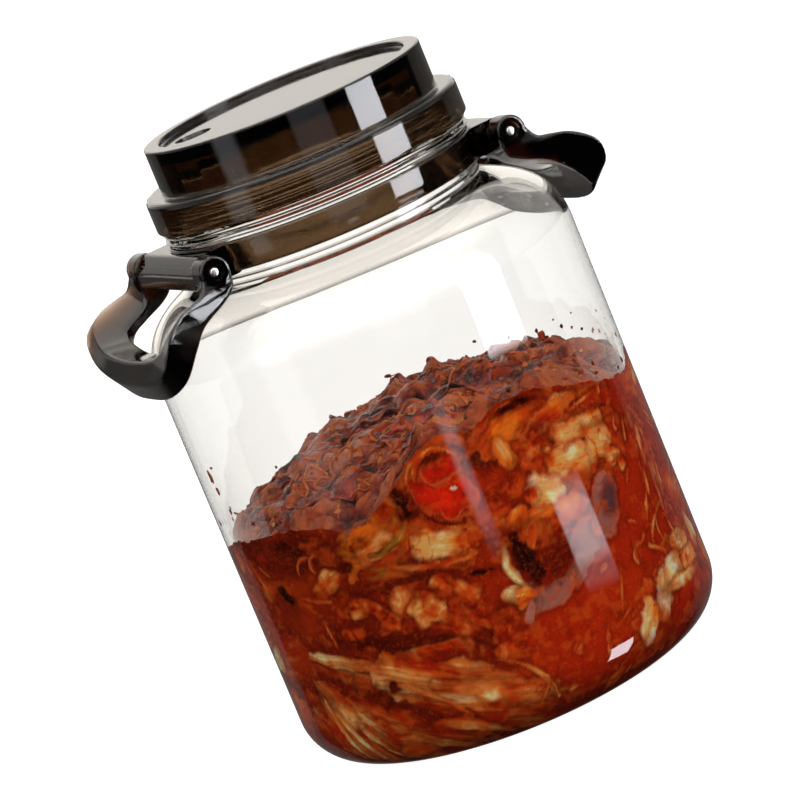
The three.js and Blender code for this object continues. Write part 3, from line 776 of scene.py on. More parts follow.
def shoulder(offset):
    """The shoulder's outline, an easy curve from the wall to the neck, moved in by an offset."""
    points = np.array((
        (BODY_RADIUS - offset, SHOULDER_START),
        (BODY_RADIUS - offset, SHOULDER_START + SHOULDER_RADIUS + 2 - offset),
        (BODY_RADIUS - SHOULDER_RADIUS + 2 - offset, SHOULDER_TOP - 1 - offset),
        (NECK_RADIUS + 0.6 - offset * 1.3, NECK_START - offset * 1.3)))
    made = []
    for t in np.linspace(0, 1, 29):
        weights = np.array(((1 - t) ** 3, 3 * t * (1 - t) ** 2, 3 * t * t * (1 - t), t ** 3))
        made.append(tuple(weights @ points))
    return made


def bead(height, rise):
    """A round ring that stands out of the neck."""
    made = []
    for t in np.linspace(-1, 1, 9):
        made.append((NECK_RADIUS + rise * math.cos(t * math.pi / 2), height + t * BEAD_HALF_WIDTH))
    return made


def make_jar():
    heel = HEEL_RADIUS - WALL
    outside = [(0, 0)]
    outside += arc((BODY_RADIUS - HEEL_RADIUS, HEEL_RADIUS), HEEL_RADIUS, -90, 0, 18)
    outside += [(BODY_RADIUS, z) for z in (60, 100, 140)]
    outside += shoulder(0)
    for height, rise in NECK_BEADS:
        outside += bead(height, rise)
    lip = (NECK_RADIUS - LIP_RADIUS, JAR_HEIGHT - LIP_RADIUS)
    inner_lip = (NECK_RADIUS - NECK_WALL + LIP_RADIUS, JAR_HEIGHT - LIP_RADIUS)
    edge = arc(lip, LIP_RADIUS, 0, 90, 5) + arc(inner_lip, LIP_RADIUS, 90, 180, 5)
    inside = [(NECK_RADIUS - NECK_WALL, NECK_START + 4)]
    inside += shoulder(WALL)[::-1]
    inside += [(INNER_RADIUS, z) for z in (140, 100, 60)]
    inside += arc((INNER_RADIUS - heel, BASE_THICKNESS + heel), heel, 0, -90, 16)
    inside += [(0, BASE_THICKNESS)]
    points, faces = revolve(outside + edge + inside, JAR_SIDES)
    jar = raw_object("glass_jar", points, faces)
    return finish_piece(jar, GLASS, "root", ["jar"], 50)


def faceted_ring(radius, height, facets, sides):
    """A ring of points on a many-sided outline, so that the wall it bounds is made of flat strips."""
    half = math.pi / facets
    made = []
    for turn in np.linspace(0, 2 * np.pi, sides, endpoint=False):
        reach = radius * math.cos(half) / math.cos((turn % (2 * half)) - half)
        made.append((reach * math.cos(turn), reach * math.sin(turn), height))
    return made


def make_lid():
    disc_top = LID_TOP - LID_RECESS
    recess = LID_DRUM_RADIUS - LID_RIM_WIDTH
    drum_inside = LID_DRUM_RADIUS - LID_WALL
    skirt_inside = LID_RADIUS - LID_WALL + 0.2
    corners = (
        (LID_RADIUS, LID_BOTTOM, 1.2), (LID_RADIUS, LID_STEP, 2.4), (LID_DRUM_RADIUS, LID_STEP, 1.1),
        (LID_DRUM_RADIUS, LID_TOP, 1.0), (recess, LID_TOP, 1.0), (recess, disc_top, 0.8))
    ends = [(skirt_inside, LID_BOTTOM)] + [corner[:2] for corner in corners] + [(0, disc_top)]
    outside = [ends[0]]
    for i, (radius, height, width) in enumerate(corners, 1):
        outside += rounded(ends[i - 1:i + 2], width)[5:10]
    outside.append(ends[-1])
    inside = [(0, disc_top - LID_DISC), (drum_inside, disc_top - LID_DISC),
              (drum_inside, LID_STEP - LID_WALL), (skirt_inside, LID_STEP - LID_WALL)]
    points, faces = revolve(inside + outside, LID_SIDES)
    for ring in (1, 1 + LID_SIDES):
        points[ring:ring + LID_SIDES] = faceted_ring(drum_inside, points[ring][2], LID_FACETS, LID_SIDES)
    lid = raw_object("screw_lid", points, faces)
    face_outwards(lid)
    dimple_points, dimple_faces = revolve(
        [(0, disc_top - DIMPLE_DEPTH), (DIMPLE_RADIUS - 0.8, disc_top - DIMPLE_DEPTH),
         (DIMPLE_RADIUS, disc_top + 2), (0, disc_top + 2)], 64)
    dimple = raw_object("dimple", dimple_points + (*DIMPLE_PLACE, 0), dimple_faces)
    cut_or_join(lid, dimple, "DIFFERENCE")
    return finish_piece(lid, LID_PLASTIC, "root", ["lid"], 8)


def make_collar():
    inside = NECK_RADIUS + PIN_GAP
    ring = rounded([(inside, COLLAR_BOTTOM), (COLLAR_RADIUS, COLLAR_BOTTOM),
                    (COLLAR_RADIUS, COLLAR_TOP), (inside, COLLAR_TOP)], 0.9)
    collar = raw_object("collar_ring", *revolve(ring, JAR_SIDES))
    face_outwards(collar)
    groove = BARREL_GROOVE
    section = rounded([
        (HINGE_RADIUS - BARREL_ROOT, HINGE_HEIGHT - BARREL_TOP),
        (HINGE_RADIUS + BARREL_OUT, HINGE_HEIGHT - BARREL_TOP),
        (HINGE_RADIUS + BARREL_OUT, HINGE_HEIGHT - groove),
        (HINGE_RADIUS + BARREL_OUT - 2 * groove, HINGE_HEIGHT),
        (HINGE_RADIUS + BARREL_OUT - groove, HINGE_HEIGHT + groove),
        (HINGE_RADIUS, HINGE_HEIGHT + BARREL_TOP),
        (HINGE_RADIUS - BARREL_ROOT, HINGE_HEIGHT + BARREL_TOP)], 1.2)
    for side in (1, -1):
        sections = [[(side * x, y, z) for x, z in section] for y in (-BARREL_HALF_LENGTH, BARREL_HALF_LENGTH)]
        barrel = raw_object("barrel", *loft(sections))
        face_outwards(barrel)
        hole = raw_object("neck_hole", *revolve([(0, 150), (inside, 150), (inside, 260), (0, 260)], JAR_SIDES))
        cut_or_join(barrel, hole, "DIFFERENCE")
        bore = bar_along_y("bore", PIN_RADIUS + PIN_GAP, -40, 40, side * HINGE_RADIUS, HINGE_HEIGHT, 0, 32)
        cut_or_join(barrel, bore, "DIFFERENCE")
        cut_or_join(collar, barrel, "UNION")
    return finish_piece(collar, LID_PLASTIC, "root", ["collar"])


def smooth_curve(knots, places):
    """Points on a smooth line through the knots, at places from 0 to the number of gaps."""
    knots = np.asarray(knots, float)
    padded = np.vstack([2 * knots[0] - knots[1], knots, 2 * knots[-1] - knots[-2]])
    index = np.clip(np.floor(places).astype(int), 0, len(knots) - 2)
    t = (places - index)[:, None]
    a, b, c, d = (padded[index + k] for k in range(4))
    return 0.5 * (2 * b + (c - a) * t + (2 * a - 5 * b + 4 * c - d) * t ** 2 + (3 * b - a - 3 * c + d) * t ** 3)


def handle_section(corners, widths, steps=4):
    """One section of the handle, with each corner rounded over its own width."""
    made = []
    for i, corner in enumerate(corners):
        before = corners[i - 1] - corner
        after = corners[(i + 1) % len(corners)] - corner
        first = corner + before * min(widths[i] / np.linalg.norm(before), 0.45)
        last = corner + after * min(widths[i] / np.linalg.norm(after), 0.45)
        for t in np.linspace(0, 1, steps + 1):
            made.append(first * (1 - t) ** 2 + corner * 2 * t * (1 - t) + last * t * t)
    return made


def make_handle(name, node, side):
    widths = [width for width, _ in HANDLE_EDGES]
    places = np.linspace(0, 14, HANDLE_STATIONS)
    edges = []
    for _, knots in HANDLE_EDGES:
        near = [(out, -along, up) for out, along, up in knots]
        far = list(reversed(knots))[1:]
        edges.append(smooth_curve(near + far, places))
    sections = []
    for i in range(HANDLE_STATIONS):
        corners = [edge[i] for edge in edges]
        section = np.array(handle_section(corners, widths))
        sections.append(section * (side, 1, 1) + (side * HINGE_RADIUS, 0, HINGE_HEIGHT))
    handle = raw_object(name, *loft(sections))
    face_outwards(handle)
    x = side * HINGE_RADIUS
    for end in (-1, 1):
        low, high = sorted((end * BOSS_INNER, end * BOSS_OUTER))
        cut_or_join(handle, bar_along_y("boss", BOSS_RADIUS, low, high, x, HINGE_HEIGHT, 0.9), "UNION")
    smooth = handle.modifiers.new("remesh", "REMESH")
    smooth.mode = "VOXEL"
    smooth.voxel_size = 0.5 * MM
    relax = handle.modifiers.new("relax", "SMOOTH")
    relax.factor = 0.5
    relax.iterations = 4
    apply_modifiers(handle)
    for end in (-1, 1):
        low, high = sorted((end * (BOSS_OUTER - COUNTERBORE_DEPTH), end * (BOSS_OUTER + 4)))
        cut_or_join(handle, bar_along_y("sink", COUNTERBORE_RADIUS, low, high, x, HINGE_HEIGHT), "DIFFERENCE")
        low, high = sorted((end * (BOSS_INNER - 4), end * (BOSS_OUTER + 4)))
        bore = bar_along_y("bore", PIN_RADIUS + PIN_GAP, low, high, x, HINGE_HEIGHT)
        cut_or_join(handle, bore, "DIFFERENCE")
    return finish_piece(handle, HANDLE_PLASTIC, node, [node])


def make_pin(name, node, side):
    pin = bar_along_y(name, PIN_RADIUS, -PIN_HALF_LENGTH, PIN_HALF_LENGTH, side * HINGE_RADIUS, HINGE_HEIGHT, 0.5, 40)
    return finish_piece(pin, STEEL, "root", [node])


def set_tint(piece, colours, shine=None):
    """Stores each vertex's colour, and how wet it is, as the attribute tint."""
    layer = piece.data.color_attributes.new("tint", "FLOAT_COLOR", "POINT")
    count = len(piece.data.vertices)
    shine = np.ones(count) if shine is None else np.asarray(shine)
    values = np.concatenate([np.asarray(colours).reshape(-1, 3), shine.reshape(-1, 1)], axis=1)
    layer.data.foreach_set("color", values.astype(np.float32).ravel())


def set_lay(piece, places):
    """Stores each vertex's place along and across its piece, in metres, as the UV map lay."""
    mesh = piece.data
    layer = mesh.uv_layers.new(name="lay")
    corner = np.empty(len(mesh.loops), dtype=np.int64)
    mesh.loops.foreach_get("vertex_index", corner)
    values = (np.asarray(places)[corner] * MM).astype(np.float32)
    layer.uv.foreach_set("vector", values.ravel())


def heap_top(x, y):
    """Height of the top of the kimchi over a point: tilted, crowned and lumpy."""
    away = np.minimum(np.hypot(x, y) / INNER_RADIUS, 1)
    lumps = 3 * np.sin(x * 0.11 + 1.3) * np.cos(y * 0.13 - 0.4) + 1.6 * np.sin(x * 0.23 - y * 0.19)
    tilt = KIMCHI_TILT * (x * 0.94 - y * 0.34) / BODY_RADIUS
    return KIMCHI_LEVEL + tilt + KIMCHI_CROWN * (1 - away * away) + lumps * (1 - away * 0.5)


def rim_height(theta):
    """Height of the line where the top of the kimchi meets the glass."""
    x, y = INNER_RADIUS * np.cos(theta), INNER_RADIUS * np.sin(theta)
    free = heap_top(x, y) + 2.4 * clouds(x, y, 22, 21, 2)
    angle = (np.degrees(theta) - PHOTO_SIDE + 180) % 360 - 180
    places, heights = zip(*FRONT_RIM)
    seen = np.interp(angle, places, heights)
    share = smooth_step(84, 72, np.abs(angle))
    return free * (1 - share) + seen * share + 0.5 * clouds(x + y, x - y, 4, 23, 2)


def wall_point(theta, height, out):
    """A point on the kimchi's face. Height is measured along the glass: round the heel, then inwards."""
    heel = HEEL_RADIUS - WALL
    centre = BASE_THICKNESS + heel
    bend = np.clip((centre - height) / heel, 0, math.pi / 2)
    inwards = np.maximum(KIMCHI_FOOT - height, 0)
    radius = INNER_RADIUS - heel + (heel + out) * np.cos(bend) - inwards
    z = np.where(height > centre, height, centre - (heel + out) * np.sin(bend))
    return np.stack([radius * np.cos(theta), radius * np.sin(theta), z], axis=-1)


def brine_colour(theta, height):
    """The brine seen through the glass: brown red on one side, brighter on the other."""
    x, y = INNER_RADIUS * np.cos(theta), INNER_RADIUS * np.sin(theta)
    side = smooth_step(-60, 40, x * 0.94 - y * 0.34)
    even = 0.6 * clouds(x, height, 30, 3) + 0.6 * clouds(y, height, 30, 4)
    fine = 0.5 * clouds(x, height, 6, 5) + 0.5 * clouds(y, height, 6, 6)
    colour = mix(BRINE_DEEP * 1.3, BRINE, side)
    colour = mix(colour, ORANGE, smooth_step(-0.2, 1.3, even) * 0.35)
    shade = smooth_step(0.2, 1.4, fine) * 0.5 + smooth_step(0.1, 1, -even) * 0.4 * (1 - side)
    colour = mix(colour, BRINE_DEEP, shade)
    # painted shade near the heel: the brine darkens towards the bottom
    return mix(colour, MAROON * 0.6, smooth_step(16, 0, height) * 0.6)


def crease(x, y, size, seed, width=0.12):
    """Thin lines that wander and fade, from 0 to 1."""
    line = 1 - smooth_step(0, width, np.abs(clouds(x, y, size, seed, 2)))
    return line * smooth_step(-0.5, 0.6, clouds(x, y, size * 1.3, seed + 2, 1))


# Surfaces of the foods: along and across a piece in mm, they give its paleness and its relief

def fibrous(s, t, seed):
    t = t + 1.3 * clouds(s, t, 19, seed, 2)
    fine = cloud(s / 13, t / 0.8, seed + 1)
    middle = cloud(s / 22, t / 2.1, seed + 2)
    broad = clouds(s, t, 12, seed + 3, 3)
    return 0.44 + 0.22 * fine + 0.27 * middle + 0.34 * broad, 0.55 + 0.3 * fine + 0.45 * middle


def lumpy(s, t, seed):
    # painted shade in the creases between the lumps
    dark = crease(s, t, 7, seed, 0.3)
    broad = clouds(s, t, 7, seed + 6, 3)
    fine = clouds(s, t, 2.2, seed + 4, 2)
    streak = cloud(s / 6, t / 1.1, seed + 3)
    return 0.44 + 0.34 * broad + 0.14 * fine + 0.14 * streak - 0.4 * dark, 0.55 + 0.3 * broad - 0.5 * dark


def leafy(s, t, seed):
    fold = clouds(s * 0.45, t, 7, seed, 3)
    vein = crease(s * 0.5, t, 8, seed + 3)
    # painted shade in the creases of the folds
    dark = crease(s * 0.4, t, 6, seed + 6, 0.2)
    fine = cloud(s / 7, t, seed + 4)
    paleness = 0.42 + 0.34 * fold + 0.34 * vein + 0.16 * fine - 0.3 * dark
    return paleness, 0.45 + 0.25 * fold + 0.3 * vein - 0.3 * dark


def ribboned(s, t, seed):
    wander = 1.8 * clouds(s, t, 13, seed, 2)
    ridge = 0.5 + 0.5 * np.cos(2 * np.pi * (t + wander) / (2.6 + 0.8 * math.sin(seed)))
    ridge = ridge * smooth_step(-1.2, 0.5, clouds(s * 0.5, t, 6, seed + 2, 2))
    fine = cloud(s / 6, t / 0.9, seed + 4)
    return 0.3 + 0.55 * ridge ** 3 + 0.2 * fine, 0.2 + 0.8 * ridge ** 2


def smooth(s, t, seed):
    broad = clouds(s, t, 13, seed, 3)
    fine = clouds(s, t, 2.4, seed + 3, 2)
    return 0.5 + 0.32 * broad + 0.14 * fine, 0.6 + 0.2 * broad


def crisp(s, t, seed):
    # painted shade: dark cracks across the slab
    shaded_crack = crease(s * 1.5, t * 0.6, 8, seed, 0.16)
    streak = cloud(s / 9, t, seed + 2)
    broad = clouds(s, t, 8, seed + 5, 3)
    return 0.66 - 0.45 * shaded_crack + 0.17 * streak + 0.26 * broad, 0.7 - 0.3 * shaded_crack + 0.1 * streak


def threadlike(s, t, seed):
    fine = cloud(s / 5, t / 0.8, seed)
    long = cloud(s / 6, 0 * t, seed + 1)
    return 0.5 + 0.4 * fine + 0.3 * long, 0.7 + 0.3 * fine


# kind: its surface, its colours from deep to pale, how far its edge wanders, its pale rim, a painted highlight along
# the edge
KINDS = {
    "stem": (fibrous, (BRINE, RUST, TAN, TAN, STRAW, CREAM), 0.25, 0.0),
    "chunk": (lumpy, (BRINE_DEEP, BRINE, RUST, ORANGE, TAN, TAN, STRAW), 0.34, 0.0),
    "leaf": (leafy, (BRINE_DEEP, BRINE, ORANGE, AMBER, STRAW), 0.35, 0.3),
    "amber": (leafy, (BRINE, RUST, ORANGE, AMBER, AMBER, STRAW), 0.35, 0.25),
    "frill": (ribboned, (BRINE_DEEP, BRINE, ORANGE, AMBER, STRAW), 0.3, 0.2),
    "skin": (smooth, (MAROON, BRINE_DEEP, BRINE), 0.3, 0.0),
    "brine": (smooth, (BRINE * 0.8, BRINE, BRINE * 1.1, ORANGE), 0.35, 0.0),
    "pepper": (smooth, (PEPPER_RED * 0.5, PEPPER_RED * 0.8, PEPPER_RED, PEPPER_RED * 1.2, ORANGE * 1.2), 0.2, 0.4),
    # painted shade: near-black patches stand for the shade in deep hollows
    "dark": (smooth, (NEAR_BLACK, NEAR_BLACK, MAROON * 0.7), 0.35, 0.0),
    "maroon": (smooth, (MAROON * 0.5, MAROON, BRINE_DEEP), 0.4, 0.0),
    "mauve": (smooth, (SLATE, MAUVE, MAUVE, MAUVE * 1.3), 0.2, 0.3),
    "slate": (smooth, (SLATE * 0.7, SLATE, MAUVE), 0.2, 0.0),
    "shred": (threadlike, (BRINE, RUST, TAN, STRAW), 0.3, 0.0),
    "white": (crisp, (RUST, AMBER, STRAW, STRAW, CREAM, WHITE_CREAM), 0.26, 0.0),
    "olive": (threadlike, (MAROON, OLIVE, OLIVE * 1.3, STRAW), 0.25, 0.0),
    # painted highlight: small pale marks that stand for glints
    "glint": (threadlike, (STRAW, CREAM, WHITE_CREAM, WHITE_CREAM), 0.3, 0.0),
}


class PressedFood:
    """The kimchi against the glass: the colour and relief of every point, and how a piece lies there."""

    def __init__(self, theta, height):
        self.theta, self.height = theta, height
        self.brine = brine_colour(theta, height)
        self.colour = self.brine.copy()
        self.relief = np.full(theta.shape, 0.35)
        self.lay = np.stack([theta * INNER_RADIUS, height], axis=1)

    def press(self, kind, angle, height, length, width, turn, bend, pale, veil, seed):
        """Lays one piece of food on the glass, over those that are there, with a painted shadow round it.

        angle is measured from the side that the camera sees, positive to its right, and turn is the
        slope of the piece's length. bend is the radius that the length follows, 0 for none. veil is
        the share of brine between the piece and the glass.
        """
        surface, colours, wander, rim = KINDS[kind]
        right = (self.theta - math.radians(PHOTO_SIDE + angle) + np.pi) % (2 * np.pi) - np.pi
        right, up = right * INNER_RADIUS, self.height - height
        near = np.nonzero(right ** 2 + up ** 2 < 0.56 * (length ** 2 + width ** 2))[0]
        if not len(near):
            return
        right, up = right[near], up[near]
        slope = math.radians(turn)
        s = right * math.cos(slope) + up * math.sin(slope)
        t = up * math.cos(slope) - right * math.sin(slope)
        if bend:
            side = math.copysign(1, bend)
            away = t + bend
            s, t = abs(bend) * np.arctan2(s, away * side), side * np.hypot(s, away) - bend
        swell = 1 + 0.3 * cloud(s / length * 2.2, 0 * s, seed + 12)
        outline = (np.abs(2 * s / length) ** 2.6 + np.abs(2 * t / width / swell) ** 2.6) ** (1 / 2.6)
        ragged = 0.6 * clouds(s, t, min(width, 12) * 0.9, seed + 9, 2) + 0.45 * clouds(s, t, 3.2, seed + 8, 2)
        edge = outline + wander * ragged
        soft = min(0.15, 1.5 / min(length, width))
        body = smooth_step(1 + soft, 1 - soft, edge)
        paleness, rise = surface(s, t, seed)
        own = ramp(paleness + (pale - 0.5) * 0.9, *colours)
        # painted highlight: a pale line along the edge, where light would shine through the thin rim
        if rim:
            line = np.exp(-((edge - 0.93) * max(width, 6) / 0.98) ** 2)
            own = mix(own, STRAW, line * rim)
        depth = np.clip(veil + smooth_step(0.55, 1.0, edge) * 0.45, 0, 1)
        own = mix(own, self.brine[near], depth)
        # painted shadow: a dark ring just outside the piece, over what lies below it
        painted_shadow = smooth_step(1 + 5 / width, 1.0, edge) * (1 - body) * (1 - veil)
        painted_shadow = painted_shadow * (0.25 if width < 4 else 0.5)
        below = mix(self.colour[near], MAROON * 0.6, painted_shadow)
        self.colour[near] = mix(below, own, body)
        rise = np.clip(rise * (1 - 0.5 * veil), 0, 1)
        self.relief[near] = self.relief[near] * (1 - body) + rise * body - painted_shadow * 0.3
        over = body > 0.5
        self.lay[near[over]] = np.stack([s + seed * 13.1, t + seed * 7.7], axis=1)[over]

    def add_pulp(self):
        """Small bits, threads and shadows over everything that lies on the glass."""
        s, t = self.lay.T
        x, y, z = wall_point(self.theta, self.height, 0).T
        shade = 0.5 * clouds(x, z, 9, 61, 3) + 0.5 * clouds(y, z, 9, 62, 3)
        self.colour = mix(self.colour, self.colour * (0.5, 0.3, 0.25), smooth_step(0.1, 1.0, shade) * 0.5)
        bits = 0.6 * clouds(x, z, 4.2, 63, 3) + 0.6 * clouds(y, z, 4.2, 64, 3)
        lit = smooth_step(0.01, 0.06, self.colour.mean(axis=1))
        self.colour = mix(self.colour, RUST * 1.15, smooth_step(0.35, 0.95, bits) * lit * 0.5)
        # painted shade in creases over everything on the glass
        dark = crease(s * 0.7, t, 5, 65, 0.25)
        self.colour = mix(self.colour, BRINE_DEEP * 0.7, dark * 0.4)
        self.relief = self.relief - 0.2 * dark
        self.colour = np.minimum(self.colour * (1.4, 1.2, 1.0), 0.95)


def back_pieces():
    """Seeded pieces for the sides that the photograph doesn't show, large ones first."""
    rng = np.random.default_rng(BACK_SEED)
    made = []
    for count, kinds, lengths, widths, pales, veils in BACK_MIX:
        for number in range(count):
            kind = kinds[rng.integers(len(kinds))]
            angle = 74 + (number + rng.uniform(0, 1)) * (360 - 148) / count
            height = rng.uniform(4, 106)
            turn = rng.normal(-12, 34)
            bend = rng.choice((-1, 1)) * rng.uniform(12, 40) if kind in ("frill", "shred") else 0
            made.append((kind, angle, height, rng.uniform(*lengths), rng.uniform(*widths), turn, bend,
                         rng.uniform(*pales), rng.uniform(*veils)))
    return made


def make_face(name, middle):
    """Half of the kimchi as it shows through the glass, as a wedge that reaches the jar's axis."""
    theta = np.linspace(-np.pi / 2, np.pi / 2, FACE_COLUMNS) + middle
    rim = rim_height(theta)
    inwards = np.linspace(INNER_RADIUS - HEEL_RADIUS + WALL - 0.5, 0, FLOOR_ROWS, endpoint=False)
    heights = [np.full(FACE_COLUMNS, KIMCHI_FOOT - way) for way in inwards]
    heights += [KIMCHI_FOOT + (rim - KIMCHI_FOOT) * share for share in np.linspace(0, 1, FACE_ROWS)]
    height = np.array(heights)
    around = np.broadcast_to(theta, height.shape)
    food = PressedFood(around.ravel(), height.ravel())
    for seed, piece in enumerate(list(FRONT_PIECES) + back_pieces(), 1):
        food.press(*piece, seed)
    food.add_pulp()
    out = WALL_REACH + FACE_RELIEF * np.clip(food.relief, 0, 1)
    points = wall_point(food.theta, food.height, out)
    index = np.arange(height.size).reshape(height.shape)
    faces = np.stack([index[:-1, :-1], index[:-1, 1:], index[1:, 1:], index[1:, :-1]], axis=-1)
    faces = faces.reshape(-1, 4).tolist()
    edge = np.concatenate([index[0, ::-1], index[1:-1, 0], index[-1], index[-2:0:-1, -1]])
    hub = len(points)
    faces += [(int(b), int(a), hub) for a, b in zip(edge, np.roll(edge, -1))]
    axis_point = (0, 0, HUB_HEIGHT)
    face = raw_object(name, np.vstack([points, axis_point]), faces)
    set_tint(face, np.vstack([food.colour, BRINE]))
    set_lay(face, np.vstack([food.lay, (0, 0)]))
    face_outwards(face)
    return finish_piece(face, PRESSED, "root", ["kimchi"], 0)


def crust_folds(x, y):
    """Rise of the crumpled top over a point, and how near it is to a crest, from 0 to 1."""
    turn = math.radians(CAMERA_AZIMUTH + 12)
    u, v = x * math.cos(turn) + y * math.sin(turn), y * math.cos(turn) - x * math.sin(turn)
    u, v = u + 4 * clouds(x, y, 16, 35, 2), v + 4 * clouds(x, y, 16, 36, 2)
    broad = np.abs(clouds(u * 0.6, v, 14, 41, 2))
    small = np.abs(clouds(u * 0.6, v, 6.4, 43, 2))
    fine = np.abs(clouds(u * 0.6, v, 2.8, 45, 2))
    rise = 4.6 * (broad ** 0.8 - 0.45) + 2.6 * (small ** 0.8 - 0.4) + 1.1 * (fine ** 0.8 - 0.4)
    return rise, np.clip(0.75 * broad ** 0.8 + 0.5 * small ** 0.8 + 0.3 * fine ** 0.8, 0, 1)


def crust_colour(x, y, crest):
    # painted light and shade: dark in the hollows between the folds, pale on the crests
    colour = ramp(crest * 1.2 - 0.2, CRUST_DARK, CRUST_DARK, CRUST_DEEP, CRUST, CRUST, CRUST_PALE)
    warm = smooth_step(0.1, 1.0, clouds(x, y, 15, 51, 3))
    colour = mix(colour, RUST, warm * 0.4)
    red = smooth_step(0.5, 1.0, clouds(x, y, 8, 53, 2))
    colour = mix(colour, BRINE * 0.9, red * 0.55)
    colour = mix(colour, CRUST_DARK, smooth_step(0.5, 1.2, clouds(x, y, 6, 54, 3)) * 0.6)
    turn = math.radians(CAMERA_AZIMUTH)
    across, away = x * math.cos(turn) + y * math.sin(turn), y * math.cos(turn) - x * math.sin(turn)
    # painted sheen: pale streaks, strongest in the wet patch, stand in for the shine of the wet top
    sheen_streaks = smooth_step(0.1, 0.9, clouds(across * 0.45, away, 3.2, 58, 3) + 0.5 * wet_patch(x, y) - 0.2)
    return mix(colour, CRUST_PAINTED_SHEEN, sheen_streaks * (0.12 + 0.5 * wet_patch(x, y)))


def wet_patch(x, y):
    """A broad flatter patch on the camera's left where brine stands on the top."""
    turn = math.radians(CAMERA_AZIMUTH)
    u, v = x * math.cos(turn) + y * math.sin(turn), y * math.cos(turn) - x * math.sin(turn)
    return np.exp(-((u + 26) / 26) ** 2 - ((v + 4) / 34) ** 2)


def wetness(x, y):
    return smooth_step(0.35, 0.7, clouds(x, y, 5, 57, 3) * 0.6 + wet_patch(x, y) * 0.85)


def top_height(x, y):
    """Height of the kimchi's top with its folds, which ease out into the line on the glass."""
    theta = np.arctan2(y, x)
    radius = np.hypot(x, y)
    edge_x, edge_y = INNER_RADIUS * np.cos(theta), INNER_RADIUS * np.sin(theta)
    lift = rim_height(theta) - heap_top(edge_x, edge_y)
    near = smooth_step(INNER_RADIUS - 32, INNER_RADIUS, radius)
    rise, crest = crust_folds(x, y)
    free = smooth_step(INNER_RADIUS, INNER_RADIUS - 7, radius) * (1 - 0.7 * wet_patch(x, y))
    return heap_top(x, y) + lift * near + rise * free, crest


def disc_places(count):
    """A square grid of points pushed out into a round disc of radius 1."""
    a, b = np.meshgrid(np.linspace(-1, 1, count), np.linspace(-1, 1, count), indexing="ij")
    wide = np.abs(a) >= np.abs(b)
    reach = np.where(wide, a, b)
    other = np.where(wide, b, a)
    turn = math.pi / 4 * other / np.where(reach == 0, 1, reach)
    x = np.where(wide, reach * np.cos(turn), reach * np.sin(turn))
    y = np.where(wide, reach * np.sin(turn), reach * np.cos(turn))
    return x, y


def make_crust():
    x, y = disc_places(CRUST_COUNT)
    x, y = x * (INNER_RADIUS + WALL_REACH), y * (INNER_RADIUS + WALL_REACH)
    height, crest = top_height(x, y)
    points = np.stack([x, y, height], axis=-1).reshape(-1, 3)
    index = np.arange(x.size).reshape(x.shape)
    faces = np.stack([index[:-1, :-1], index[1:, :-1], index[1:, 1:], index[:-1, 1:]], axis=-1)
    faces = faces.reshape(-1, 4).tolist()
    edge = np.concatenate([index[:-1, 0], index[-1, :-1], index[:0:-1, -1], index[0, :0:-1]])
    lower = points[edge] - (0, 0, 1.2)
    start = len(points)
    under = np.arange(start, start + len(edge))
    hub = start + len(edge)
    for here, after, low, low_after in zip(edge, np.roll(edge, -1), under, np.roll(under, -1)):
        faces.append((int(after), int(here), int(low), int(low_after)))
        faces.append((int(low_after), int(low), hub))
    crust = raw_object("kimchi_top", np.vstack([points, lower, (0, 0, HUB_HEIGHT + 30)]), faces)
    colour = crust_colour(x, y, crest).reshape(-1, 3)
    dry = np.tile(CRUST_DEEP, (len(edge) + 1, 1))
    set_tint(crust, np.vstack([colour, dry]), np.concatenate([wetness(x, y).ravel(), np.zeros(len(dry))]))
    face_outwards(crust)
    return finish_piece(crust, WET_TOP, "root", (), 0)


class Pieces:
    """Many small solids of one kind, gathered into one mesh."""

    def __init__(self, name, material):
        self.name, self.material = name, material
        self.points, self.faces, self.tints = [], [], []
        self.count = 0

    def add(self, points, faces, tint):
        self.points.append(np.asarray(points).reshape(-1, 3))
        self.faces += [[int(corner) + self.count for corner in face] for face in faces]
        self.tints.append(np.asarray(tint).reshape(-1, 3))
        self.count += len(self.points[-1])

    def add_sheet(self, front, back, tint):
        """A thin sheet: a grid of points, the same grid on its other face, and the rim between."""
        rows, columns = front.shape[:2]
        size = rows * columns
        index = np.arange(size).reshape(rows, columns)
        quads = np.stack([index[:-1, :-1], index[1:, :-1], index[1:, 1:], index[:-1, 1:]], axis=-1).reshape(-1, 4)
        faces = []
        for a, b, c, d in quads:
            faces += [(a, b, c), (a, c, d), (a + size, c + size, b + size), (a + size, d + size, c + size)]
        edge = np.concatenate([index[:-1, 0], index[-1, :-1], index[:0:-1, -1], index[0, :0:-1]])
        for a, b in zip(edge, np.roll(edge, -1)):
            faces += [(b, a, a + size), (b, a + size, b + size)]
        self.add(np.concatenate([front.reshape(-1, 3), back.reshape(-1, 3)]), faces,
                 np.concatenate([tint.reshape(-1, 3)] * 2))

    def make(self, sharp=0):
        piece = raw_object(self.name, np.concatenate(self.points), self.faces)
        set_tint(piece, np.concatenate(self.tints), np.full(self.count, 0.6))
        face_outwards(piece)
        return finish_piece(piece, self.material, "root", (), sharp)


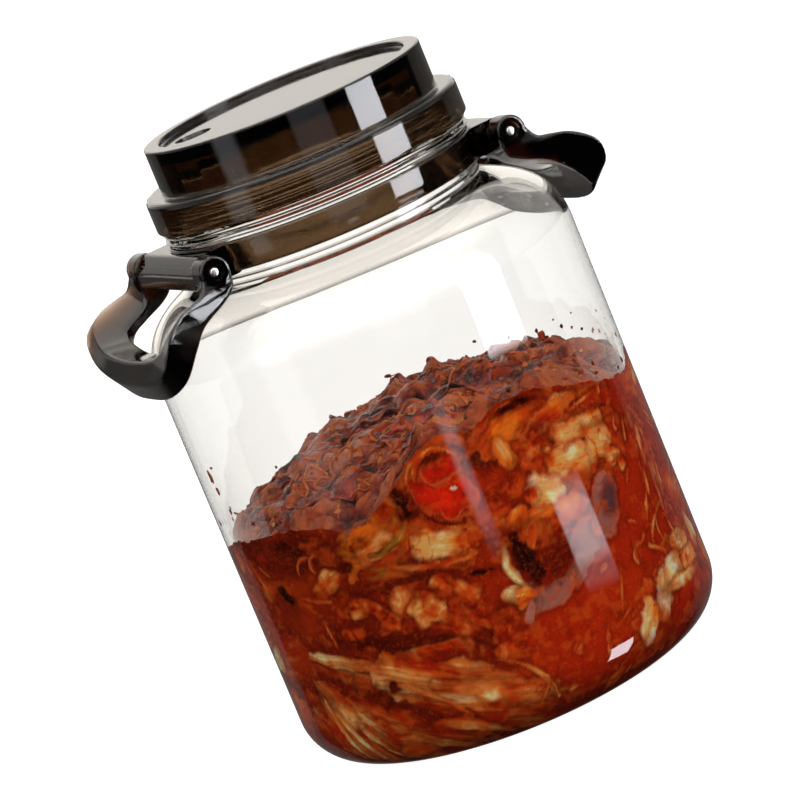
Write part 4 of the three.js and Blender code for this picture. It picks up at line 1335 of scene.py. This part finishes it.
def top_leaf(pieces, x, y, length, width, turn, rise, colours, seed):
    """A crumpled leaf that lies half sunk in the top of the kimchi."""
    rows, columns = int(length / 1.1) + 2, int(width / 1.1) + 2
    s = np.linspace(-0.5, 0.5, rows)[:, None] * length + np.zeros((1, columns))
    t = np.linspace(-0.5, 0.5, columns)[None, :] * np.ones((rows, 1))
    narrow = (1 - np.abs(2 * s / length) ** 3) ** 0.6
    t = t * width * (0.25 + 0.75 * narrow) * (1 + 0.25 * cloud(s / 6, 0 * s, seed))
    slope = math.radians(turn)
    px = x + s * math.cos(slope) - t * math.sin(slope) + 1.5 * clouds(s, t, 7, seed + 1, 2)
    py = y + s * math.sin(slope) + t * math.cos(slope) + 1.5 * clouds(s, t, 7, seed + 2, 2)
    scale = np.minimum(1, (INNER_RADIUS - 3) / np.maximum(np.hypot(px, py), 1))
    px, py = px * scale, py * scale
    base = top_height(px, py)[0]
    frill = 1.6 * clouds(s * 0.7, t, 4.5, seed + 3, 2) * (0.4 + np.abs(2 * t / width))
    arch = rise * (1 - (2 * t / width) ** 2) * (1 - np.abs(2 * s / length) ** 4)
    centre = base * 0.5 + np.mean(base) * 0.5
    height = centre + arch + frill - 0.6
    front = np.stack([px, py, height], axis=-1)
    edge = smooth_step(0.5, 1.0, np.maximum(np.abs(2 * t / width) * 1.3, np.abs(2 * s / length)))
    paleness = 0.35 + 0.3 * clouds(s, t, 5, seed + 4, 3) + 0.4 * edge + 0.2 * crease(s, t, 6, seed + 5)
    pieces.add_sheet(front, front - (0, 0, LEAF_THICKNESS), ramp(paleness, *colours))


def make_top_leaves():
    leaves = Pieces("kimchi_leaves", WET_LEAF)
    for seed, (x, y, length, width, turn, rise, kind) in enumerate(TOP_LEAVES, 200):
        top_leaf(leaves, x, y, length, width, turn, rise, TOP_COLOURS[kind], seed)
    rng = np.random.default_rng(TOP_SEED)
    for number in range(TOP_COUNT):
        radius, angle = 80 * math.sqrt(rng.uniform(0.02, 1)), rng.uniform(0, 2 * math.pi)
        kind = TOP_KINDS[rng.integers(len(TOP_KINDS))]
        top_leaf(leaves, radius * math.cos(angle), radius * math.sin(angle), rng.uniform(9, 24), rng.uniform(3, 10),
                 rng.normal(CAMERA_AZIMUTH + 5, 35), rng.uniform(0.2, 2.2), TOP_COLOURS[kind], 300 + number)
    return leaves.make()


def tree_with(name, sockets):
    """An empty Geometry Nodes tree with named inputs: name, kind and value."""
    tree = bpy.data.node_groups.new(name, "GeometryNodeTree")
    tree.interface.new_socket("Geometry", in_out="OUTPUT", socket_type="NodeSocketGeometry")
    tree.interface.new_socket("Geometry", in_out="INPUT", socket_type="NodeSocketGeometry")
    for label, kind, value in sockets:
        made = tree.interface.new_socket(label, in_out="INPUT", socket_type=kind)
        if value is not None:
            made.default_value = value
    return tree


def tree_node(tree, kind, inputs=None, **settings):
    made = tree.nodes.new(kind)
    for key, value in settings.items():
        setattr(made, key, value)
    for key, value in (inputs or {}).items():
        if isinstance(value, bpy.types.NodeSocket):
            tree.links.new(value, made.inputs[key])
        else:
            made.inputs[key].default_value = value
    return made


def use_tree(piece, tree, values):
    """Runs a tree on a piece with the given values, and keeps the result as its mesh."""
    modifier = piece.modifiers.new(tree.name, "NODES")
    modifier.node_group = tree
    for item in tree.interface.items_tree:
        if item.item_type == "SOCKET" and item.in_out == "INPUT" and item.name in values:
            modifier[item.identifier] = values[item.name]
    return apply_modifiers(piece)


def scatter_tree():
    """Flat uneven bits, such as pepper flakes and seeds, scattered over a surface."""
    tree = tree_with("scattered_bits", (
        ("Bits per square metre", "NodeSocketFloat", 20000.0), ("Seed", "NodeSocketInt", 1),
        ("Smallest", "NodeSocketFloat", 0.0006), ("Largest", "NodeSocketFloat", 0.0018),
        ("Flatness", "NodeSocketFloat", 0.3), ("Sides", "NodeSocketInt", 5),
        ("Finish", "NodeSocketMaterial", None)))
    given = tree_node(tree, "NodeGroupInput").outputs
    points = tree_node(tree, "GeometryNodeDistributePointsOnFaces", {
        "Mesh": given["Geometry"], "Density": given["Bits per square metre"], "Seed": given["Seed"]})
    flake = tree_node(tree, "GeometryNodeMeshIcoSphere", {"Radius": 1.0, "Subdivisions": 1})
    shaken = tree_node(tree, "FunctionNodeRandomValue", {"Min": (-0.3, -0.3, -0.3), "Max": (0.3, 0.3, 0.3)},
                       data_type="FLOAT_VECTOR")
    uneven = tree_node(tree, "GeometryNodeSetPosition", {
        "Geometry": flake.outputs["Mesh"], "Offset": shaken.outputs["Value"]})
    size = tree_node(tree, "FunctionNodeRandomValue", {
        "Min": given["Smallest"], "Max": given["Largest"], "Seed": given["Seed"]}, data_type="FLOAT")
    length = tree_node(tree, "FunctionNodeRandomValue", {"Min": 0.6, "Max": 1.3, "Seed": 3}, data_type="FLOAT")
    shape = tree_node(tree, "ShaderNodeCombineXYZ", {
        "X": length.outputs[1], "Y": 0.75, "Z": given["Flatness"]})
    scale = tree_node(tree, "ShaderNodeVectorMath", {0: shape.outputs[0], "Scale": size.outputs[1]}, operation="SCALE")
    spin = tree_node(tree, "FunctionNodeRandomValue", {"Min": (-0.5, -0.5, 0), "Max": (0.5, 0.5, 6.28), "Seed": 5},
                     data_type="FLOAT_VECTOR")
    turned = tree_node(tree, "FunctionNodeRotateRotation", {
        "Rotation": points.outputs["Rotation"]}, rotation_space="LOCAL")
    euler = tree_node(tree, "FunctionNodeEulerToRotation", {"Euler": spin.outputs["Value"]})
    tree.links.new(euler.outputs[0], turned.inputs["Rotate By"])
    placed = tree_node(tree, "GeometryNodeInstanceOnPoints", {
        "Points": points.outputs["Points"], "Instance": uneven.outputs["Geometry"],
        "Rotation": turned.outputs["Rotation"], "Scale": scale.outputs["Vector"]})
    real = tree_node(tree, "GeometryNodeRealizeInstances", {"Geometry": placed.outputs["Instances"]})
    dressed = tree_node(tree, "GeometryNodeSetMaterial", {
        "Geometry": real.outputs["Geometry"], "Material": given["Finish"]})
    result = tree_node(tree, "NodeGroupOutput")
    tree.links.new(dressed.outputs["Geometry"], result.inputs["Geometry"])
    return tree


def strand_tree():
    """Strips swept along curves, thickest in the middle, such as shreds of radish and stem."""
    tree = tree_with("swept_strands", (
        ("Half width", "NodeSocketFloat", 0.0008), ("Flatness", "NodeSocketFloat", 0.5),
        ("Finish", "NodeSocketMaterial", None)))
    given = tree_node(tree, "NodeGroupInput").outputs
    curve = tree_node(tree, "GeometryNodeMeshToCurve", {"Mesh": given["Geometry"]})
    ring = tree_node(tree, "GeometryNodeCurvePrimitiveCircle", {"Resolution": 8, "Radius": given["Half width"]})
    flat = tree_node(tree, "ShaderNodeCombineXYZ", {"X": 1.0, "Y": given["Flatness"], "Z": 1.0})
    strip = tree_node(tree, "GeometryNodeTransform", {
        "Geometry": ring.outputs["Curve"], "Scale": flat.outputs[0]})
    along = tree_node(tree, "GeometryNodeSplineParameter")
    middle = tree_node(tree, "ShaderNodeMath", {0: along.outputs["Factor"], 1: math.pi}, operation="MULTIPLY")
    swell = tree_node(tree, "ShaderNodeMath", {0: middle.outputs[0]}, operation="SINE")
    thick = tree_node(tree, "ShaderNodeMath", {0: swell.outputs[0], 1: 0.8, 2: 0.25}, operation="MULTIPLY_ADD")
    swept = tree_node(tree, "GeometryNodeCurveToMesh", {
        "Curve": curve.outputs["Curve"], "Profile Curve": strip.outputs["Geometry"], "Fill Caps": True})
    if "Scale" in swept.inputs:
        tree.links.new(thick.outputs[0], swept.inputs["Scale"])
    real = tree_node(tree, "GeometryNodeRealizeInstances", {"Geometry": swept.outputs["Mesh"]})
    dressed = tree_node(tree, "GeometryNodeSetMaterial", {
        "Geometry": real.outputs["Geometry"], "Material": given["Finish"]})
    result = tree_node(tree, "NodeGroupOutput")
    tree.links.new(dressed.outputs["Geometry"], result.inputs["Geometry"])
    return tree


def copy_top(name, keep):
    """A loose copy of the top's upper face, thinned to the places that keep says."""
    x, y = disc_places(60)
    x, y = x * (INNER_RADIUS - 2), y * (INNER_RADIUS - 2)
    points = np.stack([x, y, top_height(x, y)[0]], axis=-1).reshape(-1, 3)
    index = np.arange(x.size).reshape(x.shape)
    quads = np.stack([index[:-1, :-1], index[1:, :-1], index[1:, 1:], index[:-1, 1:]], axis=-1).reshape(-1, 4)
    middle = points[quads].mean(axis=1)
    return raw_object(name, points, quads[keep(middle[:, 0], middle[:, 1])].tolist())


def make_flakes():
    tree = scatter_tree()
    everywhere = lambda x, y: np.ones(len(x), bool)
    for name, seed, amount, low, high, flatness, material in (
            ("pepper_flakes", 4, 26000.0, 0.5, 1.3, 0.3, PEPPER_BITS),
            ("pepper_seeds", 8, 1500.0, 0.9, 1.3, 0.4, SEED_BITS),
            ("stem_bits", 12, 5000.0, 0.8, 2.2, 0.35, STEM_BITS)):
        bits = copy_top(name, everywhere)
        use_tree(bits, tree, {"Bits per square metre": amount, "Seed": seed, "Smallest": low * MM,
                              "Largest": high * MM, "Flatness": flatness, "Finish": material})
        finish_piece(bits, material, "root", (), 35)


def make_strands():
    """Shreds that lie over the top, as paths that a strip is swept along."""
    rng = np.random.default_rng(STRAND_SEED)
    points, edges = [], []
    for number in range(STRAND_COUNT):
        radius, angle = 74 * math.sqrt(rng.uniform(0.01, 1)), rng.uniform(0, 2 * math.pi)
        x, y = radius * math.cos(angle), radius * math.sin(angle)
        way, curl = rng.uniform(0, 2 * math.pi), rng.normal(0, 0.16)
        start = len(points)
        for k in range(int(rng.integers(9, 20))):
            away = min(1, 82 / max(math.hypot(x, y), 1))
            x, y = x * away, y * away
            points.append((x, y, float(top_height(np.array(x), np.array(y))[0]) + 0.35 + 0.5 * math.sin(k * 0.9 + number)))
            x, y, way = x + 1.3 * math.cos(way), y + 1.3 * math.sin(way), way + curl
        edges += [(i, i + 1) for i in range(start, len(points) - 1)]
    mesh = bpy.data.meshes.new("kimchi_shreds")
    mesh.from_pydata((np.array(points) * MM).tolist(), edges, [])
    shreds = bpy.data.objects.new("kimchi_shreds", mesh)
    bpy.context.scene.collection.objects.link(shreds)
    use_tree(shreds, strand_tree(), {"Half width": 0.9 * MM, "Flatness": 0.5, "Finish": STEM_BITS})
    face_outwards(shreds)
    return finish_piece(shreds, STEM_BITS, "root", (), 0)


def make_splashes():
    """Drops and specks that dried on the glass above the kimchi."""
    drops = Pieces("brine_splashes", SPLASH)
    rng = np.random.default_rng(SPLASH_SEED)
    places = list(SPLASHES)
    for _ in range(SPLASH_COUNT):
        angle = rng.uniform(-180, 180)
        rim = float(rim_height(np.array([math.radians(PHOTO_SIDE + angle)]))[0])
        places.append((angle, rim + 1 + min(rng.exponential(7), 12), rng.uniform(0.5, 1.5), rng.uniform(0.5, 1.3)))
    for seed, (angle, height, wide, tall) in enumerate(places, 400):
        turn = np.linspace(0, 2 * np.pi, 14, endpoint=False)
        uneven = 1 + 0.45 * cloud(np.cos(turn) * 1.3, np.sin(turn) * 1.3, seed)
        points = [wall_point(math.radians(PHOTO_SIDE + angle), height, WALL_REACH)]
        for share, depth in ((0.55, WALL_REACH), (1, WALL_REACH), (0.9, -0.15), (0.5, -0.4)):
            theta = math.radians(PHOTO_SIDE + angle) + wide * share * uneven * np.cos(turn) / INNER_RADIUS
            points.extend(wall_point(theta, height + tall * share * uneven * np.sin(turn), depth))
        points.append(wall_point(math.radians(PHOTO_SIDE + angle), height, -0.5))
        faces = []
        for k in range(14):
            j = (k + 1) % 14
            faces.append((0, 1 + k, 1 + j))
            for ring in range(3):
                low = 1 + ring * 14
                faces.append((low + k, low + 14 + k, low + 14 + j, low + j))
            faces.append((43 + j, 43 + k, 57))
        drops.add(points, faces, np.tile(mix(RUST, BRINE, rng.uniform(0, 1)), (58, 1)))
    return drops.make()


def make_kimchi():
    make_face("kimchi_front", math.radians(PHOTO_SIDE))
    make_face("kimchi_back", math.radians(PHOTO_SIDE + 180))
    make_crust()
    make_top_leaves()
    make_flakes()
    make_strands()
    make_splashes()


def room_light():
    """The studio all round: a pale room above, and what the jar mirrors from below its middle.

    The floor hides the lower half from everything but mirrored light, so that half holds a white
    sweep behind the jar, a tall light box on the right and a dim window, with darkness between.
    """
    world = bpy.data.worlds.new("studio")
    world.use_nodes = True
    tree = world.node_tree
    background = tree.nodes["Background"]

    def node(kind, **values):
        made = tree.nodes.new(kind)
        for key, value in values.items():
            setattr(made, key, value)
        return made

    def link(source, target):
        tree.links.new(source, target)

    def math_node(operation, *values):
        made = node("ShaderNodeMath", operation=operation)
        for i, value in enumerate(values):
            if isinstance(value, bpy.types.NodeSocket):
                link(value, made.inputs[i])
            else:
                made.inputs[i].default_value = value
        return made.outputs[0]

    def band(value, low, high, soft):
        """1 between two angles in degrees, with soft ends."""
        centre, half = math.radians(low + high) / 2, math.radians(high - low) / 2
        away = math_node("ABSOLUTE", math_node("SUBTRACT", value, centre))
        soft = math.radians(soft)
        made = node("ShaderNodeMapRange", clamp=True)
        link(away, made.inputs["Value"])
        for key, number in (("From Min", half - soft), ("From Max", half + soft), ("To Min", 1), ("To Max", 0)):
            made.inputs[key].default_value = number
        return made.outputs["Result"]

    turned = node("ShaderNodeVectorRotate", rotation_type="Z_AXIS")
    link(node("ShaderNodeTexCoord").outputs["Generated"], turned.inputs["Vector"])
    turned.inputs["Angle"].default_value = -math.radians(CAMERA_AZIMUTH)
    split = node("ShaderNodeSeparateXYZ")
    link(turned.outputs["Vector"], split.inputs["Vector"])
    across, ahead, up = split.outputs
    azimuth = math_node("ARCTAN2", across, math_node("MULTIPLY", ahead, -1))
    elevation = math_node("ARCSINE", up)
    behind = math_node("MAXIMUM", band(azimuth, 156, 204, 10), band(azimuth, -204, -156, 10))
    room = math_node("MULTIPLY_ADD", behind, BACKDROP_STRENGTH - ROOM_STRENGTH, ROOM_STRENGTH)
    room = math_node("MAXIMUM", room, math_node("MULTIPLY", band(elevation, 46, 134, 9), CEILING_STRENGTH))
    front = math_node("MULTIPLY", band(azimuth, -70, 70, 14), band(elevation, 12, 46, 6))
    room = math_node("MAXIMUM", room, math_node("MULTIPLY", front, FRONT_STRENGTH))
    room = math_node("MULTIPLY", room, band(elevation, 0, 180, 1))
    sweep = math_node("MAXIMUM", band(azimuth, SWEEP_RIGHT, 200, 1.5), band(azimuth, -200, SWEEP_LEFT, 1.5))
    sweep = math_node("MULTIPLY", sweep, band(elevation, SWEEP_BOTTOM, 10, 4))
    pale = math_node("MAXIMUM", room, math_node("MULTIPLY", sweep, SWEEP_STRENGTH))
    total = math_node("ADD", pale, DARK_STRENGTH)
    cool = 0.0
    for low, high, bottom, top, soft, strength in LIGHT_PANELS:
        mask = math_node("MULTIPLY", band(azimuth, low, high, soft), band(elevation, bottom, top, soft * 0.3))
        total = math_node("ADD", total, math_node("MULTIPLY", mask, strength))
        cool = math_node("MAXIMUM", cool, mask)
    link(total, background.inputs["Strength"])
    tone = node("ShaderNodeMix", data_type="RGBA")
    link(cool, tone.inputs[0])
    tone.inputs[6].default_value = (*WARM_LIGHT, 1)
    tone.inputs[7].default_value = (*COOL_LIGHT, 1)
    link(tone.outputs[2], background.inputs["Color"])
    bpy.context.scene.world = world


def make_stage():
    """A white floor that shows no shadow, and dimmer ones that are seen through the glass."""
    reach = 14000
    floor = raw_object("floor", [(-reach, -reach, 0), (reach, -reach, 0), (reach, reach, 0), (-reach, reach, 0)],
                       [(0, 1, 2, 3)])
    floor.data.materials.append(floor_finish("white_floor", (1, 1, 1), 0.25, FLOOR_GLOW))
    floor.visible_glossy = False
    floor.visible_transmission = False
    turn = math.radians(CAMERA_AZIMUTH)
    right, away = np.array((math.cos(turn), math.sin(turn), 0)), np.array((-math.sin(turn), math.cos(turn), 0))
    for name, start, end, glow in (("back_floor", BACK_FLOOR_START, reach, BACK_FLOOR_GLOW),
                                   ("front_floor", -reach, BACK_FLOOR_START, FRONT_FLOOR_GLOW)):
        corners = [right * side * reach + away * way for side, way in ((-1, start), (1, start), (1, end), (-1, end))]
        seen = raw_object(name, np.array(corners) - (0, 0, 1), [(0, 1, 2, 3)])
        seen.data.materials.append(floor_finish(name, (1, 0.985, 0.955), 0.0, glow))
        seen.visible_camera = False
        seen.visible_diffuse = False
        seen.visible_glossy = False
        seen.visible_shadow = False
    room_light()


def make_camera():
    data = bpy.data.cameras.new("camera")
    data.sensor_width = SENSOR_WIDTH
    data.lens = LENS_PIXELS / PHOTO_WIDTH_PIXELS * SENSOR_WIDTH
    data.clip_end = 100
    camera = bpy.data.objects.new("camera", data)
    turn, rise = math.radians(CAMERA_AZIMUTH), math.radians(CAMERA_ELEVATION)
    back = Vector((math.sin(turn) * math.cos(rise), -math.cos(turn) * math.cos(rise), math.sin(rise)))
    left = Vector((-math.cos(turn), -math.sin(turn), 0))
    spot = Vector((0, 0, CAMERA_AIM_HEIGHT)) + back * CAMERA_DISTANCE + left * CAMERA_LEFT_OF_AXIS
    level = back.to_track_quat("Z", "Y").to_matrix().to_4x4()
    roll = Matrix.Rotation(math.radians(CAMERA_ROLL), 4, "Z")
    camera.matrix_world = Matrix.Translation(spot * MM) @ level @ roll
    bpy.context.scene.collection.objects.link(camera)
    bpy.context.scene.camera = camera


make_camera()
make_stage()
make_jar()
make_lid()
make_collar()
make_handle("right_handle", "handle_right", 1)
make_handle("left_handle", "handle_left", -1)
make_pin("right_pin", "hinge_pin_right", 1)
make_pin("left_pin", "hinge_pin_left", -1)
make_kimchi()

bpy.context.scene.view_settings.view_transform = "Standard"
